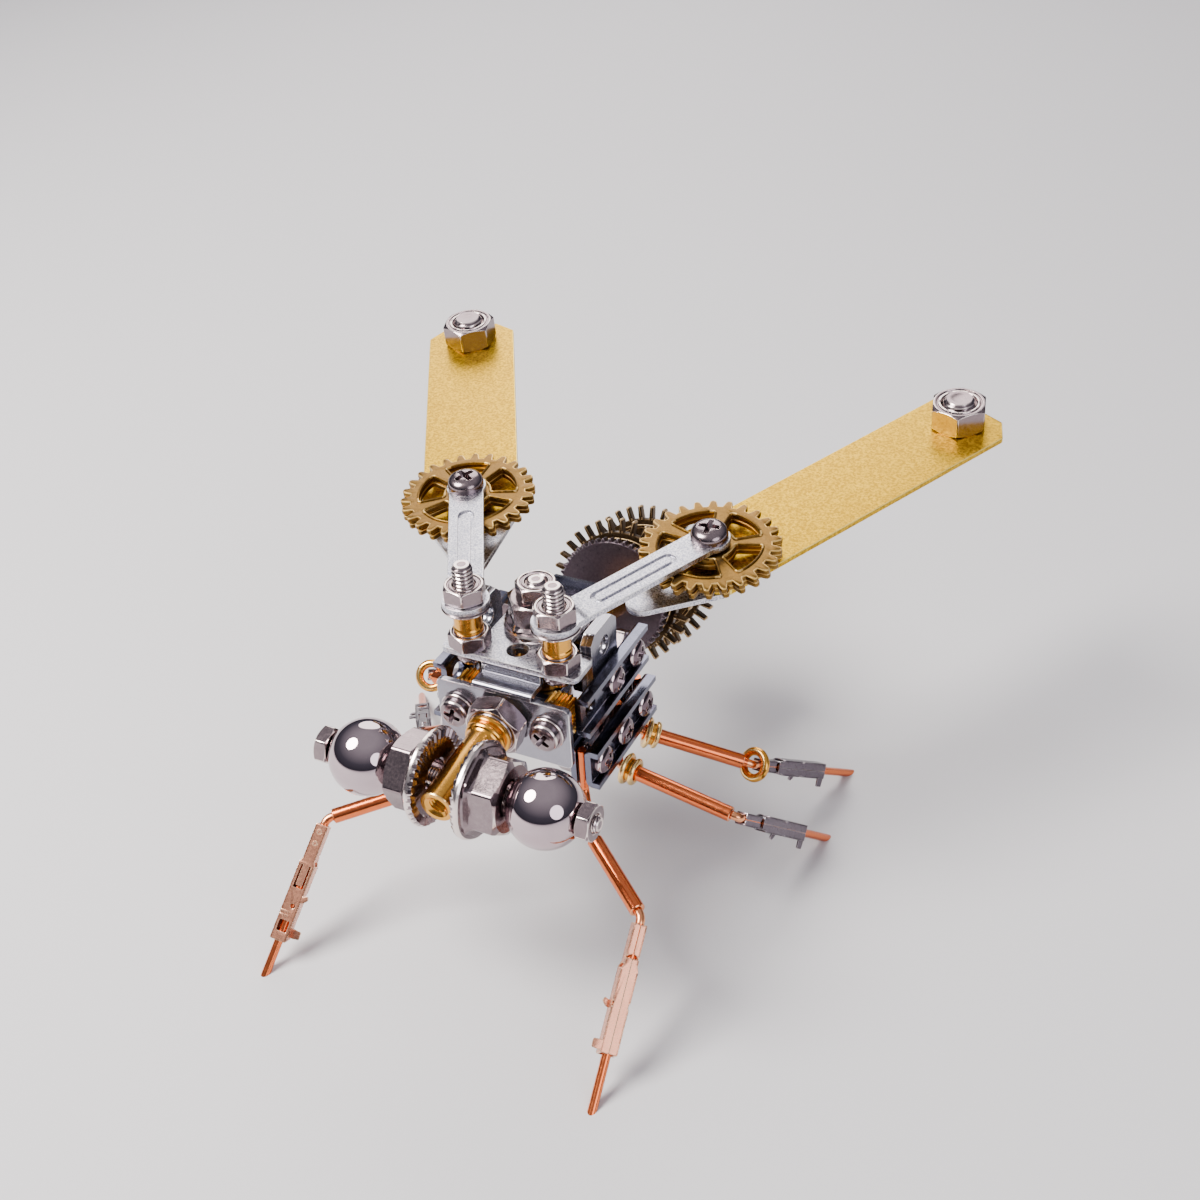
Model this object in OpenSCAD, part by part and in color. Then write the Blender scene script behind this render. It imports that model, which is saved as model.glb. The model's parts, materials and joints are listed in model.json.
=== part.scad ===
// Winged insect figure built from nuts, screws, brackets, gears and copper tube.
// Millimetres, +Z up, +Y towards the wing tips and tail, the head looks along -Y.
// The floor is z = 0. Sub-parts are drawn in a body frame whose origin is the middle of the
// crown plate's top face, half way between the two pillars; stand() puts that frame in place.

/* [Stance] */
// Height of the crown plate's top face above the floor
stand_h = 43.8; // [43.4:0.1:44.2]
// Distance from the pillar line back to the middle of the whole length
mid_y = 18.6; // [17.6:0.1:19.6]

/* [Sheet metal] */
// Thickness of the brackets and plates
sheet = 0.9; // [0.8:0.05:1]
// Length of each side channel
channel_l = 19.9; // [19:0.1:21]
// Distance between the holes of a side channel
channel_pitch = 7; // [6.8:0.1:7.2]
// Middle of the thorax, behind the pillar line
core_y = 7.75; // [7.5:0.05:8]

/* [Pillars] */
// Distance from the middle plane to each pillar
pillar_x = 7.06; // [6.9:0.02:7.2]
// Height of the wing arm's underside above the crown plate
arm_z = 6.85; // [6.8:0.05:7]
// Top of the threaded pillar screws
pillar_top = 13.4; // [13:0.1:14]

/* [Head] */
// Droop of the neck below level
neck_droop = 5.1; // [4.8:0.1:5.4]
// Distance along the neck from the front bracket to the eye axle
eye_s = 13.9; // [13.7:0.1:14.1]
// Distance from the middle plane to each eye ball's centre
eye_x = 13.9; // [13.9:0.05:14.1]
// Diameter of the eye balls
eye_d = 11; // [10.8:0.1:11]

/* [Wings] */
// Sweep of each wing, measured from straight back
sweep = 28.94; // [28:0.1:30]
// Upward tilt of each wing
tilt = 5.44; // [5:0.1:6]
// Roll of each wing, front edge down
wing_roll = 3.19; // [3:0.1:3.4]
// Distance between the arm's two holes
arm_l = 26.94; // [26.8:0.02:27.2]
// Distance from the pillar to the tip nut
tip_u = 76.47; // [76:0.1:77]
// Width of the brass blade
blade_w = 15; // [14.8:0.1:15.2]
// Tip radius of the wing gear
wing_gear_r = 10.37; // [10.2:0.05:10.5]
// Teeth of the wing gear
wing_gear_teeth = 26; // [24:1:28]

/* [Tail] */
// Droop of the tail below level
tail_droop = 18.3; // [18:0.1:18.6]
// Distance from the pillar line to the middle of the front tail gear
tail_y = 34.3; // [34:0.1:34.6]
// Height of the front tail gear's centre, from the crown plate
tail_z = -11.2; // [-11.4:0.1:-11]
// Tip radius of the tail gears
tail_gear_r = 12.1; // [12:0.05:12.2]
// Teeth of the tail gears
tail_gear_teeth = 34; // [30:1:36]
// Distance between the two tail gears
tail_gap = 10.6; // [10.4:0.1:10.8]

/* [Legs] */
// Diameter of the leg wire
wire_d = 1.3; // [1.2:0.05:1.4]
// Outer diameter of the copper leg sleeves
sleeve_d = 2.3; // [2.2:0.05:2.4]
// Length of the crimp terminals
shin_l = 17.5; // [17:0.1:18]

/* [Hidden] */
$fn = 48;

// Standard fasteners
m3_r = 1.5;             // M3 thread radius
m3_hole = 1.6;          // clearance hole radius for M3
m3_af = 5.5;            // M3 nut, across flats
m3_nut_h = 2.4;
m5_af = 8;              // M5 nut, across flats
run = 0.05;             // clearance of a running fit, and between faces that slide

// Levels of the stacked plates below the crown plate's top face
crown_under = -sheet;
shelf_z = -2 * sheet;             // underside of the front bracket's shelf
crown_hole_y = 1.05;              // the crown plate's free hole, behind the pillar line
cradle_floor = -11;               // underside of the inner cradle
frame_top = cradle_floor - sheet; // top face of the leg frame
frame_bottom = -19.3;             // lower edge of the leg frame's walls
cradle_x = 10.3;                  // outer face of the outer cradle
frame_x = 9.8;                    // outer face of the leg frame's walls
upper_web_x = cradle_x;           // back face of the upper channels
lower_web_x = frame_x + wire_d + 4 * run; // back face of the lower channels
wire_x = (frame_x + lower_web_x) / 2;
front_y = -3.7;                   // back face of the front bracket
front_z = -8.3;                   // height of the two front screws
front_x = 7.2;                    // distance of the front screws from the middle
neck_z = -7.65;                   // height of the neck at the front bracket

// Wing stack, measured up from the arm's underside
gear_top = -0.1;
gear_t = 2.1;
blade_top = -3;
backing_top = blade_top - sheet - run;
hub_nut_top = backing_top - sheet - run;

// Legs: side, name, y of the clamped wire, sleeve start, knee, foot
LEGS = [
    [-1, "front_left", -1.5, [14.0, -6.4, -24.2], [25.9, -15.6, -27.0], [28.0, -32.8, -stand_h], 0],
    [1, "front_right", -1.5, [14.0, -6.4, -24.2], [25.7, -15.4, -27.0], [27.0, -35.3, -stand_h], 0],
    [-1, "mid_left", 10.2, [11.2, 8.6, -22.6], [26.0, 11.8, -31.6], [40.9, 33.0, -stand_h], 1],
    [1, "mid_right", 10.2, [11.2, 8.4, -23.3], [30.8, 7.3, -26.1], [38.1, 26.3, -stand_h], 1],
    [-1, "rear_left", 17, [11.2, 15.6, -22.0], [30.3, 21.8, -27.9], [36.4, 42.6, -stand_h], 2],
    [1, "rear_right", 17, [11.2, 15.6, -22.0], [27.3, 21.9, -28.6], [36.4, 42.6, -stand_h], 2]];

// ---- Helpers ----
module stand() translate([0, -mid_y, stand_h]) children();

// Draws its children on the right, or mirrored on the left
module on_side(side) mirror([side < 0 ? 1 : 0, 0, 0]) children();

module both_sides() for (side = [-1, 1]) on_side(side) children();

// Puts the children's +Z axis on the line from p to q
module along(p, q) {
    d = q - p;
    translate(p) rotate([0, acos(d[2] / norm(d)), atan2(d[1], d[0])]) children();
}

// Frame of the neck: +Z runs forwards along it from the front bracket
module on_neck() translate([0, front_y - sheet, neck_z]) rotate([90 + neck_droop, 0, 0]) children();

// Frame of the eye axle: +Z is its right-hand end
module on_axle() on_neck() translate([0, 0, eye_s]) rotate([0, 90, 0]) children();

// Frame of a right wing: +Y outwards along it, +Z its top, from the pillar and the arm's underside
module on_wing() translate([pillar_x, 0, arm_z]) rotate([0, 0, -sweep])
    rotate([tilt, 0, 0]) rotate([0, wing_roll, 0]) children();

// Frame of the tail: +Z runs backwards along it from the front gear's middle
module on_tail() translate([0, tail_y, tail_z]) rotate([-90 - tail_droop, 0, 0]) children();

module ring(r_out, r_in, h) difference() {
    cylinder(r = r_out, h = h);
    translate([0, 0, -1]) cylinder(r = r_in, h = h + 2);
}

module hex_nut(af, r_in, h) difference() {
    cylinder(d = af / cos(30), h = h, $fn = 6);
    translate([0, 0, -1]) cylinder(r = r_in, h = h + 2);
}

// Hexagon nut with a round flange at its foot
module flange_nut(flange_r, af, r_in, h) difference() {
    union() {
        cylinder(r = flange_r, h = 0.15 * h);
        translate([0, 0, 0.15 * h]) cylinder(r1 = flange_r, r2 = 0.62 * af, h = 0.15 * h);
        cylinder(d = af / cos(30), h = h, $fn = 6);
    }
    translate([0, 0, -1]) cylinder(r = r_in, h = h + 2);
}

// Screw along +Z with its head below z = 0 and its shank up to z = l; the head has a cross recess
module pan_screw(shank_r, head_r, head_h, l) difference() {
    union() {
        translate([0, 0, -0.5 * head_h]) cylinder(r = head_r, h = 0.5 * head_h);
        translate([0, 0, -head_h]) cylinder(r1 = 0.72 * head_r, r2 = head_r, h = 0.5 * head_h);
        cylinder(r = shank_r, h = l);
    }
    for (a = [0, 90]) rotate(a) translate([-0.5 * head_r, -0.11 * head_r, -head_h - 1])
        cube([head_r, 0.22 * head_r, 1 + 0.5 * head_h]);
}

// Rectangle with round corners, from corner a to corner b
module round_rect(a, b, r) {
    translate([a[0] + r, a[1]]) square([b[0] - a[0] - 2 * r, b[1] - a[1]]);
    translate([a[0], a[1] + r]) square([b[0] - a[0], b[1] - a[1] - 2 * r]);
    for (x = [a[0] + r, b[0] - r], y = [a[1] + r, b[1] - r]) translate([x, y]) circle(r);
}

// Gear outline: each tooth has a flank, a tip and two corners taken off
module gear_2d(teeth, root_r, tip_r, root_w, tip_w) {
    step = 360 / teeth;
    bevel = 0.22 * (tip_r - root_r);
    polygon([for (i = [0 : teeth - 1]) for (c = [
            [root_r, -0.5 * root_w], [tip_r - bevel, -0.5 * tip_w], [tip_r, -0.28 * tip_w],
            [tip_r, 0.28 * tip_w], [tip_r - bevel, 0.5 * tip_w], [root_r, 0.5 * root_w]])
        let (a = i * step) [c[0] * cos(a) - c[1] * sin(a), c[0] * sin(a) + c[1] * cos(a)]]);
}

// Sector between two radii, half_a degrees each way from +X
module sector_2d(r_in, r_out, half_a) intersection() {
    difference() {
        circle(r_out);
        circle(r_in);
    }
    polygon([[0, 0], [2 * r_out * cos(half_a), -2 * r_out * sin(half_a)],
        [2 * r_out * cos(half_a), 2 * r_out * sin(half_a)]]);
}

// ---- Thorax ----
module crown_plate() color("silver") stand() translate([0, 0, crown_under]) linear_extrude(sheet)
    difference() {
        union() {
            round_rect([-10.9, -2.3], [10.9, 3.5], 1.1);
            round_rect([-6, 0], [6, 13], 1.1);
        }
        for (x = [-pillar_x, pillar_x]) translate([x, 0]) circle(m3_hole);
        for (y = [crown_hole_y, core_y]) translate([0, y]) circle(m3_hole);
    }

module front_bracket() color("lightslategray") stand() {
    shelf_front = -1.5;
    difference() {
        union() {
            translate([0, front_y, 0]) rotate([90, 0, 0]) linear_extrude(sheet) {
                round_rect([-10.6, -14.2], [10.6, -3.9], 1);
                translate([-4.7, -5]) square([9.4, 2]);
            }
            translate([-4.7, front_y - sheet, -3.9]) cube([9.4, shelf_front - front_y + 2 * sheet, sheet]);
            translate([-4.7, shelf_front, -3.9]) cube([9.4, sheet, 3.9 - sheet]);
            translate([-4.7, shelf_front, shelf_z]) cube([9.4, 12 - shelf_front, sheet]);
        }
        for (x = [-front_x, front_x]) translate([x, front_y + 1, front_z]) rotate([90, 0, 0])
            cylinder(r = m3_hole, h = 3);
        translate([0, front_y + 1, neck_z]) rotate([90, 0, 0]) cylinder(r = 3, h = 3);
        for (y = [crown_hole_y, core_y]) translate([0, y, shelf_z - 1]) cylinder(r = m3_hole, h = 3);
    }
}

// U-shaped bracket, open upwards, with chamfered ears and a hole through each ear
module cradle(x_out, z_floor, z_top) {
    half_w = 4;
    difference() {
        union() {
            translate([-x_out, core_y - half_w, z_floor]) cube([2 * x_out, 2 * half_w, sheet]);
            both_sides() translate([x_out - sheet, core_y, 0]) rotate([90, 0, 90]) linear_extrude(sheet)
                polygon([[-half_w, z_floor], [half_w, z_floor], [half_w, z_top - 1.3],
                    [half_w - 1.3, z_top], [1.3 - half_w, z_top], [-half_w, z_top - 1.3]]);
        }
        translate([0, core_y, z_floor - 1]) cylinder(r = m3_hole, h = 3);
        translate([-20, core_y, -0.8]) rotate([0, 90, 0]) cylinder(r = m3_r, h = 40);
        translate([-20, core_y, channel_hole_z(0)]) rotate([0, 90, 0]) cylinder(r = m3_hole, h = 40);
    }
}

// Heights of the channels' hole rows and edges: row 0 above, row 1 below
function channel_hole_z(row) = row == 0 ? -6.6 : -15.7;
channel_h = 6.5;

// Side screws: back face of the channel, hole along it, row, face that the nut sits on
SIDE_SCREWS = [[upper_web_x, 0, 0, cradle_x - 2 * sheet], [upper_web_x, 1, 0, upper_web_x],
    [lower_web_x, -1, 1, frame_x - sheet], [lower_web_x, 0, 1, frame_x - sheet],
    [lower_web_x, 1, 1, frame_x - sheet]];

module inner_cradle() color("slategray") stand() cradle(cradle_x - sheet, cradle_floor, 2.5);

module outer_cradle() color("slategray") stand() cradle(cradle_x, cradle_floor - sheet, 2.7);

// Long U-shaped bracket, open downwards; its walls are the inner jaws of the leg clamps
module leg_frame() color("dimgray") stand() {
    y0 = core_y - 0.5 * channel_l;
    difference() {
        union() {
            translate([-frame_x, y0, frame_top - sheet]) cube([2 * frame_x, channel_l, sheet]);
            both_sides() translate([frame_x - sheet, y0, frame_bottom])
                cube([sheet, channel_l, frame_top - frame_bottom]);
        }
        translate([0, core_y, frame_top - 2]) cylinder(r = m3_hole, h = 3);
        for (i = [-1 : 1]) translate([-20, core_y + i * channel_pitch, channel_hole_z(1)])
            rotate([0, 90, 0]) cylinder(r = m3_hole, h = 40);
    }
}

// Three-hole channel, open outwards, with its back face on x = 0
module channel() {
    flange = 2.1;
    translate([0, core_y - 0.5 * channel_l, -0.5 * channel_h]) difference() {
        cube([flange, channel_l, channel_h]);
        translate([sheet, -1, sheet]) cube([flange, channel_l + 2, channel_h - 2 * sheet]);
        for (i = [-1 : 1]) translate([-1, 0.5 * channel_l + i * channel_pitch, 0.5 * channel_h])
            rotate([0, 90, 0]) cylinder(r = m3_hole, h = 3);
    }
}

module side_channels() color("gray") stand() both_sides() {
    translate([upper_web_x, 0, channel_hole_z(0)]) channel();
    translate([lower_web_x, 0, channel_hole_z(1)]) channel();
}

// The upper channels' front holes stay empty
module side_screws() color("silver") stand() both_sides() {
    for (c = SIDE_SCREWS) translate([c[0] + sheet, core_y + c[1] * channel_pitch, channel_hole_z(c[2])])
        rotate([0, -90, 0]) pan_screw(m3_r, 2.2, 1.6, c[0] + sheet - c[3] + m3_nut_h + 0.6);
}

module clamp_nuts() color("silver") stand() both_sides() {
    for (c = SIDE_SCREWS) translate([c[3] - m3_nut_h, core_y + c[1] * channel_pitch, channel_hole_z(c[2])])
        rotate([0, 90, 0]) rotate(30 * c[2]) hex_nut(m3_af, m3_r, m3_nut_h);
}

module front_screws() color("silver") stand() both_sides()
    translate([front_x, front_y - sheet, front_z]) rotate([-90, 0, 0]) pan_screw(m3_r, 2.6, 2.3, 6.8);

// Brass nuts with a collar and a knurled rim, on the front screws behind the bracket
module knurled_nuts() color("goldenrod") stand() both_sides()
    translate([front_x, front_y, front_z]) rotate([-90, 0, 0]) difference() {
        union() {
            cylinder(r = 2.2, h = 2.3);
            translate([0, 0, 2.2]) linear_extrude(2.8) gear_2d(30, 2.7, 3.05, 0.4, 0.26);
        }
        translate([0, 0, -1]) cylinder(r = m3_r, h = 8);
    }

module neck_nut() color("lightsteelblue") stand() on_neck() translate([0, 0, 0.45]) rotate(13.7)
    hex_nut(m5_af, 2.5, 3.1);

module crown_bolt() color("silver") stand() translate([0, core_y, frame_top - sheet]) {
    translate([0, 0, -2]) cylinder(d = m3_af / cos(30), h = 2, $fn = 6);
    cylinder(r = m3_r, h = 7.9 - frame_top + sheet);
}

module crown_flange_nut() color("lightsteelblue") stand() translate([0, core_y, 0])
    rotate(10) flange_nut(5.2, m5_af, m3_r, 5.2);

module core_spacer() color("goldenrod") stand() translate([0, core_y, cradle_floor + 2 * sheet])
    ring(4, m3_hole, shelf_z - cradle_floor - 2 * sheet);

module small_nuts() color("silver") stand() {
    both_sides() translate([pillar_x, 0, 0]) {
        rotate(20) hex_nut(m3_af, m3_r, m3_nut_h);
        translate([0, 0, arm_z + sheet + run]) rotate(8) hex_nut(m3_af, m3_r, m3_nut_h);
    }
    translate([0, core_y, 5.2]) rotate(18) hex_nut(m3_af, m3_r, m3_nut_h);
}

module pillar_screws() color("silver") stand() both_sides()
    translate([pillar_x, 0, crown_under]) pan_screw(m3_r, 2.3, 1.9, pillar_top + sheet);

module pillar_spacers() color("darkgoldenrod") stand() both_sides()
    translate([pillar_x, 0, m3_nut_h]) ring(2.15, m3_hole, arm_z - run - 0.5 - m3_nut_h);

module pillar_washers() color("silver") stand() both_sides()
    translate([pillar_x, 0, arm_z - run - 0.5]) ring(3.5, m3_hole, 0.5);

// ---- Tail ----
tail_plate_s = -17.5;   // front face of the tail plate along the tail
tail_r = 2;             // M4 thread radius
tail_gear_t = 1.4;      // thickness of the tail gears

module tail_bracket() color("slategray") stand() difference() {
    union() {
        translate([-4, 3.75, cradle_floor + sheet]) cube([8, 13.4, sheet]);
        on_tail() translate([-4, -6.2, tail_plate_s]) cube([8, 10.4, sheet]);
    }
    translate([0, core_y, cradle_floor]) cylinder(r = m3_hole, h = 3);
    on_tail() translate([0, 0, tail_plate_s - 1]) cylinder(r = 2.1, h = 3);
}

module tail_screw() color("silver") stand() on_tail() translate([0, 0, tail_plate_s])
    pan_screw(tail_r, 3.2, 2.2, 32.6);

module tail_spacers() color("goldenrod") stand() on_tail() {
    translate([0, 0, -13.4]) ring(3.2, tail_r + run, 9.35);
    translate([0, 0, -2.45]) ring(3.2, tail_r + run, 2.4 - 0.5 * tail_gear_t);
    translate([0, 0, 0.5 * tail_gear_t + run]) ring(3.2, tail_r + run, tail_gap - tail_gear_t - 2 * run);
}

module tail_nuts() color("silver") stand() on_tail() {
    translate([0, 0, tail_plate_s + sheet]) hex_nut(7, tail_r, 3.2);
    translate([0, 0, tail_gap + 0.5 * tail_gear_t + run]) hex_nut(7, tail_r, 3.2);
}

module tail_disc() color("rosybrown") stand() on_tail() translate([0, 0, -4]) linear_extrude(1.5)
    difference() {
        gear_2d(48, 9.1, 9.6, 0.8, 0.45);
        circle(tail_r + run);
    }

// Gear with long slim teeth
module tail_gear() translate([0, 0, -0.5 * tail_gear_t]) linear_extrude(tail_gear_t) difference() {
    gear_2d(tail_gear_teeth, 9.9, tail_gear_r, 0.9, 0.55);
    circle(tail_r + run);
}

module tail_gear_front() color("darkgoldenrod") stand() on_tail() tail_gear();

module tail_gear_rear() color("darkgoldenrod") stand() on_tail() translate([0, 0, tail_gap]) tail_gear();

// ---- Head ----
axle_r = 1.25;          // eye axle, M2.5
nose_r = 1.25;          // M3 threaded hole in the sleeve's front end
sleeve_end = 18.9;      // front end of the sleeve along the neck

// Brass sleeve: threaded shank in the neck nut, ringed collar, cross hole and an open front end
module neck_sleeve() color("gold") stand() on_neck() difference() {
    union() {
        translate([0, 0, -1.6]) cylinder(r = 2.5 - run, h = 5.6);
        translate([0, 0, 3.6]) rotate_extrude() polygon([[0, 0], [3.1, 0], [3.4, 0.25], [3.4, 0.75],
            [2.9, 1], [2.9, 1.25], [3.1, 1.45], [3.1, 1.9], [2.65, 2.2], [2.5, 2.6], [0, 2.6]]);
        translate([0, 0, 6]) cylinder(r = 2.5, h = sleeve_end - 6);
    }
    translate([0, 0, eye_s]) rotate([0, 90, 0]) cylinder(r = axle_r + run, h = 10, center = true);
    translate([0, 0, eye_s + 1.8]) cylinder(r = nose_r, h = 10);
}

module eye_axle() color("silver") stand() on_axle() cylinder(r = axle_r, h = 2 * 21.9, center = true);

// The left nut sits against the sleeve, the right one a little further out
module head_flange_nuts() color("lightsteelblue") stand() on_axle() {
    translate([0, 0, 3.1]) rotate(22) flange_nut(7.1, 10, 2.5, 5.8);
    rotate([0, 180, 0]) translate([0, 0, 2.6]) rotate(8) flange_nut(7.1, 10, 2.5, 5.8);
}

module eye_balls() color("white") stand() on_axle() for (side = [-1, 1])
    translate([0, 0, side * eye_x]) difference() {
        sphere(d = eye_d, $fn = 64);
        cylinder(r = axle_r + run, h = eye_d + 2, center = true);
    }

module eye_nuts() color("silver") stand() on_axle() for (side = [-1, 1])
    translate([0, 0, side * (eye_x + 0.5 * eye_d + 0.9) - 1]) hex_nut(5, axle_r, 2);

// ---- Wings ----
// Perforated arm: flat eye on the pillar, then a straight run up to the hub screw
module wing_arm(side) color("lightsteelblue") stand() on_side(side) difference() {
    arm_w = 5.2;
    flat_l = 3.6;
    union() {
        translate([pillar_x, 0, arm_z]) rotate(-sweep) linear_extrude(sheet) {
            circle(3.4);
            translate([-0.5 * arm_w, 0]) square([arm_w, flat_l]);
        }
        on_wing() linear_extrude(sheet) {
            translate([-0.5 * arm_w, flat_l - 0.3]) square([arm_w, arm_l - flat_l + 0.3]);
            translate([0, arm_l]) circle(3);
        }
    }
    translate([pillar_x, 0, 0]) cylinder(r = m3_r + run, h = 20);
    on_wing() translate([0, arm_l, -1]) cylinder(r = m3_hole, h = 3);
}

module wing_hub_screw(side) color("silver") stand() on_side(side) on_wing() translate([0, arm_l, sheet])
    rotate([180, 0, 0]) pan_screw(m3_r, 2.75, 2, 8.7);

module wing_hub_nut(side) color("silver") stand() on_side(side) on_wing()
    translate([0, arm_l, hub_nut_top - m3_nut_h]) rotate(10) hex_nut(m3_af, m3_r, m3_nut_h);

// Five-window gear with a collar under its hub
module wing_gear(side) color("darkgoldenrod") stand() on_side(side) on_wing()
    translate([0, arm_l, gear_top - gear_t]) {
        linear_extrude(gear_t) difference() {
            gear_2d(wing_gear_teeth, 8.9, wing_gear_r, 1.55, 1.0);
            circle(m3_r + run);
            for (i = [0 : 4]) rotate(90 + 72 * i) sector_2d(3.6, 7.4, 27);
        }
        translate([0, 0, blade_top + run - gear_top + gear_t])
            ring(2.6, m3_r + run, gear_top - gear_t - blade_top - run);
    }

module wing_blade(side) color("gold") stand() on_side(side) on_wing()
    translate([0, 0, blade_top - sheet]) linear_extrude(sheet) difference() {
        end = tip_u + 5;
        corner = 3;
        polygon([[-0.5 * blade_w + 2, arm_l - 4.5], [0.5 * blade_w - 2, arm_l - 4.5],
            [0.5 * blade_w, arm_l - 2.5], [0.5 * blade_w, end - corner], [0.5 * blade_w - corner, end],
            [corner - 0.5 * blade_w, end], [-0.5 * blade_w, end - corner], [-0.5 * blade_w, arm_l - 2.5]]);
        translate([0, arm_l]) circle(m3_r + run);
        translate([0, tip_u]) circle(2.6);
    }

// Pointed backing plate under the blade; its nose reaches back towards the pillar
module wing_backing(side) color("silver") stand() on_side(side) on_wing()
    translate([0, 0, backing_top - sheet]) linear_extrude(sheet) difference() {
        half_w = 6.6;
        nose_u = 14.4;
        nose_r = 2.4;
        end = 51.6;
        corner = 2.8;
        union() {
            translate([0, nose_u]) circle(nose_r);
            polygon([[-0.75 * nose_r, nose_u - 0.65 * nose_r], [0.75 * nose_r, nose_u - 0.65 * nose_r],
                [half_w, arm_l - 3.2], [half_w, end - corner], [half_w - corner, end],
                [corner - half_w, end], [-half_w, end - corner], [-half_w, arm_l - 3.2]]);
        }
        translate([0, arm_l]) circle(m3_r + run);
    }

module wing_tip_screw(side) color("silver") stand() on_side(side) on_wing()
    translate([0, tip_u, blade_top - sheet]) pan_screw(2.5, 4, 2.2, 5.6);

module wing_tip_nut(side) color("lightsteelblue") stand() on_side(side) on_wing()
    translate([0, tip_u, blade_top]) rotate(12) hex_nut(m5_af, 2.5, 4);

// ---- Legs ----
// Round bar from p to q with a slightly fuller bend at its far end
module rod(p, q, d) {
    along(p, q) cylinder(d = d, h = norm(q - p));
    translate(q) sphere(d = 1.06 * d, $fn = 32);
}

// One copper wire from the clamp to the foot, cut flat on the floor, with the copper sleeve on its
// thigh; the middle and rear legs have a brass bush at the hip, the rear ones a ring past the knee
module leg(l) color("chocolate") stand() on_side(l[0]) {
    clamp = [wire_x, l[2], -12.9];
    below = [wire_x, l[2], -20.6];
    start = l[3];
    knee = l[4];
    foot = l[5];
    thigh = knee - start;
    sleeve_l = norm(thigh) - (l[6] == 2 ? 1.6 : 1.1);
    difference() {
        union() {
            rod(clamp, below, wire_d);
            rod(below, start, wire_d);
            rod(start, knee, wire_d);
            along(knee, foot) cylinder(d = wire_d, h = norm(foot - knee) + 1.5);
        }
        translate([0, 0, -stand_h - 5]) cube([200, 200, 10], center = true);
    }
    along(start, knee) {
        translate([0, 0, 0.6]) ring(0.5 * sleeve_d, 0.5 * wire_d + run, sleeve_l - 0.6);
        if (l[6] > 0) translate([0, 0, 1]) difference() {
            union() {
                cylinder(r = 2.5, h = 0.8);
                cylinder(r = 1.75, h = 1.4);
                translate([0, 0, 1.4]) cylinder(r = 2.1, h = 0.8);
            }
            translate([0, 0, -1]) cylinder(r = 0.5 * sleeve_d + run, h = 5);
        }
    }
    if (l[6] == 2) along(knee, foot) translate([0, 0, -0.1]) ring(2.75, 1.4, 1.25);
}

// Crimp terminal on the wire below the knee: narrow crimp, then a wider box with a window and a side
// tab; it is the same part on both sides
module shin(l) color("lightgray") stand() on_side(l[0]) along(l[4], l[5]) mirror([0, l[0] < 0 ? 1 : 0, 0]) {
    crimp_s = l[6] == 2 ? 1.5 : 1;
    crimp_w = 1.9;
    box_s = 6.5;
    wall = 0.3;
    w = 2.5;
    d = 2.1;
    difference() {
        union() {
            translate([-0.5 * d, -0.5 * crimp_w, crimp_s]) cube([crimp_w, crimp_w, box_s + 1 - crimp_s]);
            translate([-0.5 * d, -0.5 * w, box_s]) cube([d, w, shin_l - box_s + 1.6]);
            translate([0.5 * d - wall, 0.5 * w - wall, shin_l - 1.2]) cube([wall, 1.6, 1.5]);
        }
        cylinder(r = 0.5 * wire_d + 0.03, h = shin_l + 3);
        translate([wall - 0.5 * d, wall - 0.5 * w, box_s + 1.5]) cube([d - 2 * wall, w - 2 * wall, shin_l]);
        translate([-d, -0.32 * w, shin_l - 1.6]) cube([d, 0.64 * w, 1.7]);
    }
}

// ---- Assembly ----
crown_plate();
front_bracket();
inner_cradle();
outer_cradle();
leg_frame();
tail_bracket();
side_channels();
side_screws();
front_screws();
knurled_nuts();
neck_nut();
pillar_screws();
pillar_spacers();
pillar_washers();
small_nuts();
crown_bolt();
crown_flange_nut();
core_spacer();
clamp_nuts();
tail_screw();
tail_spacers();
tail_nuts();
neck_sleeve();
eye_axle();
head_flange_nuts();
eye_balls();
eye_nuts();
for (w = [[-1, "left"], [1, "right"]]) {
    wing_arm(w[0]);
    wing_hub_screw(w[0]);
    wing_hub_nut(w[0]);
    wing_gear(w[0]);
    wing_blade(w[0]);
    wing_backing(w[0]);
    wing_tip_screw(w[0]);
    wing_tip_nut(w[0]);
}
tail_disc();
tail_gear_front();
tail_gear_rear();
for (l = LEGS) {
    leg(l);
    shin(l);
}
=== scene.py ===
"""Looks of the winged insect figure made of hardware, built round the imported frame.
Shapes are made in millimetres, each in its part's own frame, and placed by the frame's joints."""
import json
from math import acos, asin, atan2, cos, pi, radians, sin, tan, tau

import bmesh
import bpy
from mathutils import Matrix, Vector


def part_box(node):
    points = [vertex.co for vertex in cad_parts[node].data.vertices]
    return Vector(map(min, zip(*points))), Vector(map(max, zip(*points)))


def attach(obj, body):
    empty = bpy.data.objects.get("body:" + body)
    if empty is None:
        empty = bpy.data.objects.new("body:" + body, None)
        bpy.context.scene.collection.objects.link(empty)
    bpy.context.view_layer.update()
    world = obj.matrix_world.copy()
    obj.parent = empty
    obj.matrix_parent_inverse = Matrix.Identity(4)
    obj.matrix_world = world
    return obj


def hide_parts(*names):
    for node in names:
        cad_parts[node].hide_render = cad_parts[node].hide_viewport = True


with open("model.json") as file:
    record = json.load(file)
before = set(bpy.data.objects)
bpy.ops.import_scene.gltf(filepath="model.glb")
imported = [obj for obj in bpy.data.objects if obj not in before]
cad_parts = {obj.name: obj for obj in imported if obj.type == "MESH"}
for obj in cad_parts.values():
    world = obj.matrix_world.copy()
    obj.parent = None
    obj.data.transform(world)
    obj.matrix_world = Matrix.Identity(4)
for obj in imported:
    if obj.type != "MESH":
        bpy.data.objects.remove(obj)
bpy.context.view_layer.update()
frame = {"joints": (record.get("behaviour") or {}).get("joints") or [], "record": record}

MM = 0.001
JOINTS = {j["name"]: j for j in frame["joints"]}
BODY_OF = {n: b for b, nodes in frame["record"]["behaviour"]["bodies"].items() for n in nodes}
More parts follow.
